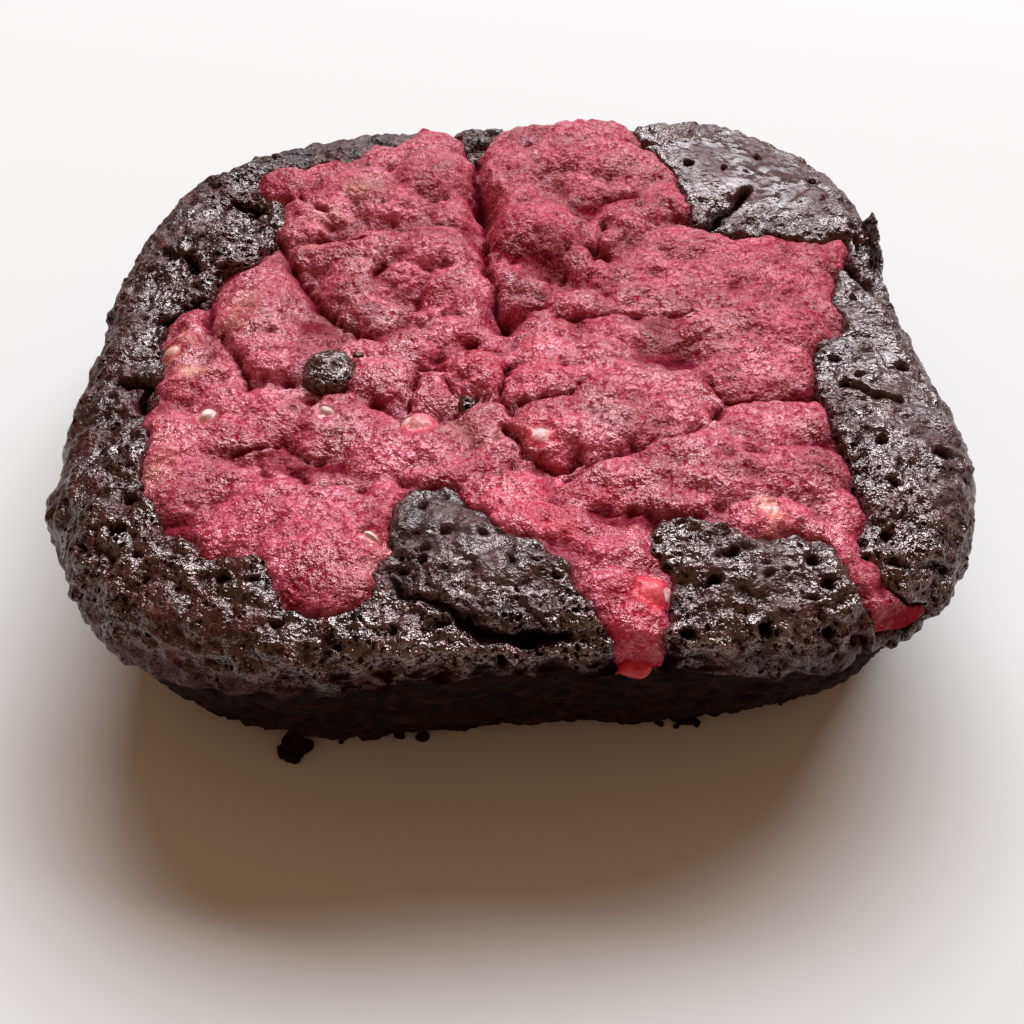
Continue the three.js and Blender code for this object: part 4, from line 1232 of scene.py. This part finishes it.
def makeChips():
    for number, look in chips.items():
        middle, half = chipBox(number)
        # a little smaller than the hump over it, so that a covered chip shows only in its opening
        grid, unit = ballGrid(middle, half - 0.12, 40, 64)
        grid = grid + unit * (0.07 * ripples(grid, 1.6, 101, 2))[..., None]
        if look["opening"]:
            # in its opening the chip swells a little through the film
            bare = 1 - climb(0.5, 1.1, openingShare(grid, middle, look["opening"]))
            grid[..., 2] += 0.32 * bare * (unit[..., 2] > 0)
        if look.get("bare"):
            grid = (grid - middle) * look["flattened"] + middle + look["shifted"]
            grid = grid + unit * (0.3 * ripples(grid, 1.8, 104, 2))[..., None]
            dye = 1 - 0.07 * climb(0.2, -0.5, unit[..., 2] + 0.3 * ripple(grid, 1.2, 105))
        else:
            # its sides are dyed more than its top
            outwards = np.hypot(unit[..., 0], unit[..., 1])
            dye = look["dye"] + 0.35 * ripple(grid, 1.5, 103) + 0.5 * climb(0.55, 1.0, outwards)
        piece = makeBall(f"chocolate_chip_{number}", grid, chocolateFinish, {"dye": np.clip(dye, 0, 1)})
        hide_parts(f"white_chocolate_chip_{number}")


makeChips()


def makeDrops():
    for name, look in drops.items():
        middle, half = dropBox(look)
        rough = look["rough"]
        grid, unit = ballGrid(middle, half, look["rows"], look["rows"] * 3 // 2)
        dots, _, tag = grains(grid + 0.4 * shake(grid, 2.0, 111), 1.6, 114)
        height = rough * ripple(grid, 2.6, 115) + 0.6 * rough * (0.55 - dots) * (0.6 + tag)
        height += 0.05 * ripple(grid, 0.7, 116)
        # painted shade: the drops' dents darker by how far they lie below their surroundings
        hollow = np.clip((blurred(height, 4) - height) * 2.0, 0, 0.8)
        grid = grid + unit * height[..., None]
        piece = makeBall(name, grid, crustFinish, {"hollow": hollow, "calm": 0.25 + 0 * hollow})
        if look["node"]:
            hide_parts(look["node"])


makeDrops()


flake = {
    "path": [(45.6, 4.0), (47.2, 8), (48.1, 12), (48.6, 16.5), (48.7, 19.2), (48.2, 21.4)],
    "heights": [0.8, 2.6, 3.4, 4.2, 5.4, 0.8],   # how far it stands up along the path
    "foot": 19.6, "thickness": 0.42, "steps": 90, "round": 40,
}


# a thin sheet of crust torn up at the rim: a flat ellipse, half thickness * cos and height * sin, carried
# along the path
def makeFlake():
    path = np.array(flake["path"], float)
    at = np.linspace(0, len(path) - 1, flake["steps"])
    knots = np.arange(len(path))
    x = np.interp(at, knots, path[:, 0])
    y = np.interp(at, knots, path[:, 1])
    tall = np.interp(at, knots, flake["heights"])
    tall = tall * np.clip(np.sin(np.linspace(0, math.pi, flake["steps"])) ** 0.4, 0.1, 1)
    turn = np.linspace(0, 2 * math.pi, flake["round"], endpoint=False)
    along = np.gradient(np.stack([x, y], -1), axis=0)
    along /= np.linalg.norm(along, axis=1, keepdims=True)
    side = np.stack([along[:, 1], -along[:, 0]], axis=-1)
    thick = flake["thickness"] * np.cos(turn)[None, :, None]
    rise = tall[:, None] * (0.5 + 0.5 * np.sin(turn)[None, :])
    lean = 0.12 * rise[..., None] * side[:, None, :]
    flatPart = np.stack([x, y], -1)[:, None, :] + side[:, None, :] * thick + lean
    grid = np.concatenate([flatPart, (flake["foot"] + rise)[..., None]], axis=-1)
    grid = (grid + 0.35 * shake(grid, 2.2, 121) + 0.12 * shake(grid, 0.8, 125))[:, ::-1]
    shape = grid.shape[:2]
    # the flake gets a little painted greyish sheen
    layers = {"paintedSheen": np.full(shape, 0.2), "dull": np.full(shape, 0.1)}
    piece = makeBall("crust_flake", grid, crustFinish, layers)


makeFlake()


footCrumbs = {
    # loose crumbs at the foot: x, y, size
    "named": [(-25.5, -43.2, 1.3), (-24.4, -43.8, 0.9), (-26.5, -44.1, 0.8), (-25.5, -44.9, 0.8),
              (-24.9, -44.4, 0.7), (16.8, -42.4, 1.0), (15.5, -42, 0.9), (17.6, -42.9, 0.6),
              (33, -37.2, 0.8), (-37, -35.5, 0.6), (-31, -40, 0.5)],
    "more": 46, "rows": 7, "columns": 10,   # and how many scattered ones, as fine as dust
}


# a ring of small uneven balls around the foot, all joined in one mesh
def makeFootCrumbs():
    draw = np.random.default_rng(5)
    angle = draw.random(footCrumbs["more"]) * 2 * math.pi
    size = 0.2 + 0.45 * draw.random(footCrumbs["more"]) ** 2
    radius = plan["foot"] * planRadius(angle, 0.0) + 0.2 + 0.8 * draw.random(footCrumbs["more"]) ** 2
    named = np.array(footCrumbs["named"])
    x = np.append(named[:, 0], radius * np.cos(angle))
    y = np.append(named[:, 1], radius * np.sin(angle))
    size = np.append(named[:, 2], size)
    points, quads, triangles = [], [], []
    rows, columns = footCrumbs["rows"], footCrumbs["columns"]
    first = 0
    for cx, cy, r in zip(x, y, size):
        half = r * np.array([1, 0.8 + 0.3 * draw.random(), 0.75])
        grid, unit = ballGrid(np.array([cx, cy, half[2] * 0.9]), half, rows, columns)
        grid = grid + unit * (0.42 * r * ripple(grid, r * 1.1, 131))[..., None]
        grid[..., 2] = np.maximum(grid[..., 2], 0.02)
        count = rows * columns
        points.append(np.concatenate([grid.reshape(-1, 3), [grid[0].mean(0), grid[-1].mean(0)]]))
        quads.append(ringQuads(rows, columns, first))
        triangles.append(fan(first + np.arange(columns), first + count, atTop=True))
        triangles.append(fan(first + np.arange(count - columns, count), first + count + 1))
        first += count + 2
    piece = makePiece("foot_crumbs", np.concatenate(points), np.concatenate(quads),
                      np.concatenate(triangles), crumbFinish)


makeFootCrumbs()
print("pieces made")


# floor, light and camera; the camera stands in millimetres
studio = {
    "floor": "#ebebea", "floorSize": 4.0,
    "fill": "#ffc99c", "fillStrength": 0.24, "wall": "#e4e2df",
    "keyPower": 158.0, "keySize": (3.33, 1.33), "keyFrom": (0.618, 2.098, 2.053), "keyColour": "#eff7ff",
    "lens": 36.07, "cameraPlace": (-5.26, -101.1, 97.4), "cameraTurn": (42.7, 0, -3),
}


def makeStudio():
    scene = bpy.context.scene
    scene.view_settings.view_transform = "Standard"
    half = studio["floorSize"] / 2
    square = [(-half, -half, 0), (half, -half, 0), (half, half, 0), (-half, half, 0)]
    mesh = bpy.data.meshes.new("floor")
    mesh.from_pydata(square, [], [(0, 1, 2, 3)])
    floor = bpy.data.objects.new("floor", mesh)
    scene.collection.objects.link(floor)
    material, tree, _ = newMaterial("pale matt board")   # quiet and even, with no sheen at all
    shader = addNode(tree, "BsdfPrincipled", {"Base Color": studio["floor"], "Roughness": 1.0,
                                              "Specular IOR Level": 0.0})
    addNode(tree, "OutputMaterial", {"Surface": shader})
    mesh.materials.append(material)
    world = bpy.data.worlds.new("studio")
    world.use_nodes = True
    scene.world = world
    tree = world.node_tree
    tree.nodes.clear()
    # the warm fill lights the object, and the camera sees a pale wall in its place
    fill = addNode(tree, "Background", {"Color": studio["fill"], "Strength": studio["fillStrength"]})
    wall = addNode(tree, "Background", {"Color": studio["wall"]})
    seen = addNode(tree, "LightPath").outputs["Is Camera Ray"]
    both = addNode(tree, "MixShader", {0: seen, 1: fill, 2: wall})
    addNode(tree, "OutputWorld", {"Surface": both})
    light = bpy.data.lights.new("key", "AREA")
    light.shape = "RECTANGLE"
    light.size, light.size_y = studio["keySize"]
    light.energy = studio["keyPower"]
    light.color = hexColour(studio["keyColour"])[:3]
    key = bpy.data.objects.new("key", light)
    key.location = studio["keyFrom"]
    key.rotation_euler = (-key.location).to_track_quat("-Z", "Y").to_euler()
    scene.collection.objects.link(key)
    view = bpy.data.cameras.new("camera")
    view.lens = studio["lens"]
    view.clip_start = 0.005
    camera = bpy.data.objects.new("camera", view)
    camera.location = [c * millimetre for c in studio["cameraPlace"]]
    camera.rotation_euler = [math.radians(c) for c in studio["cameraTurn"]]
    scene.collection.objects.link(camera)
    scene.camera = camera


makeStudio()
print("studio made")
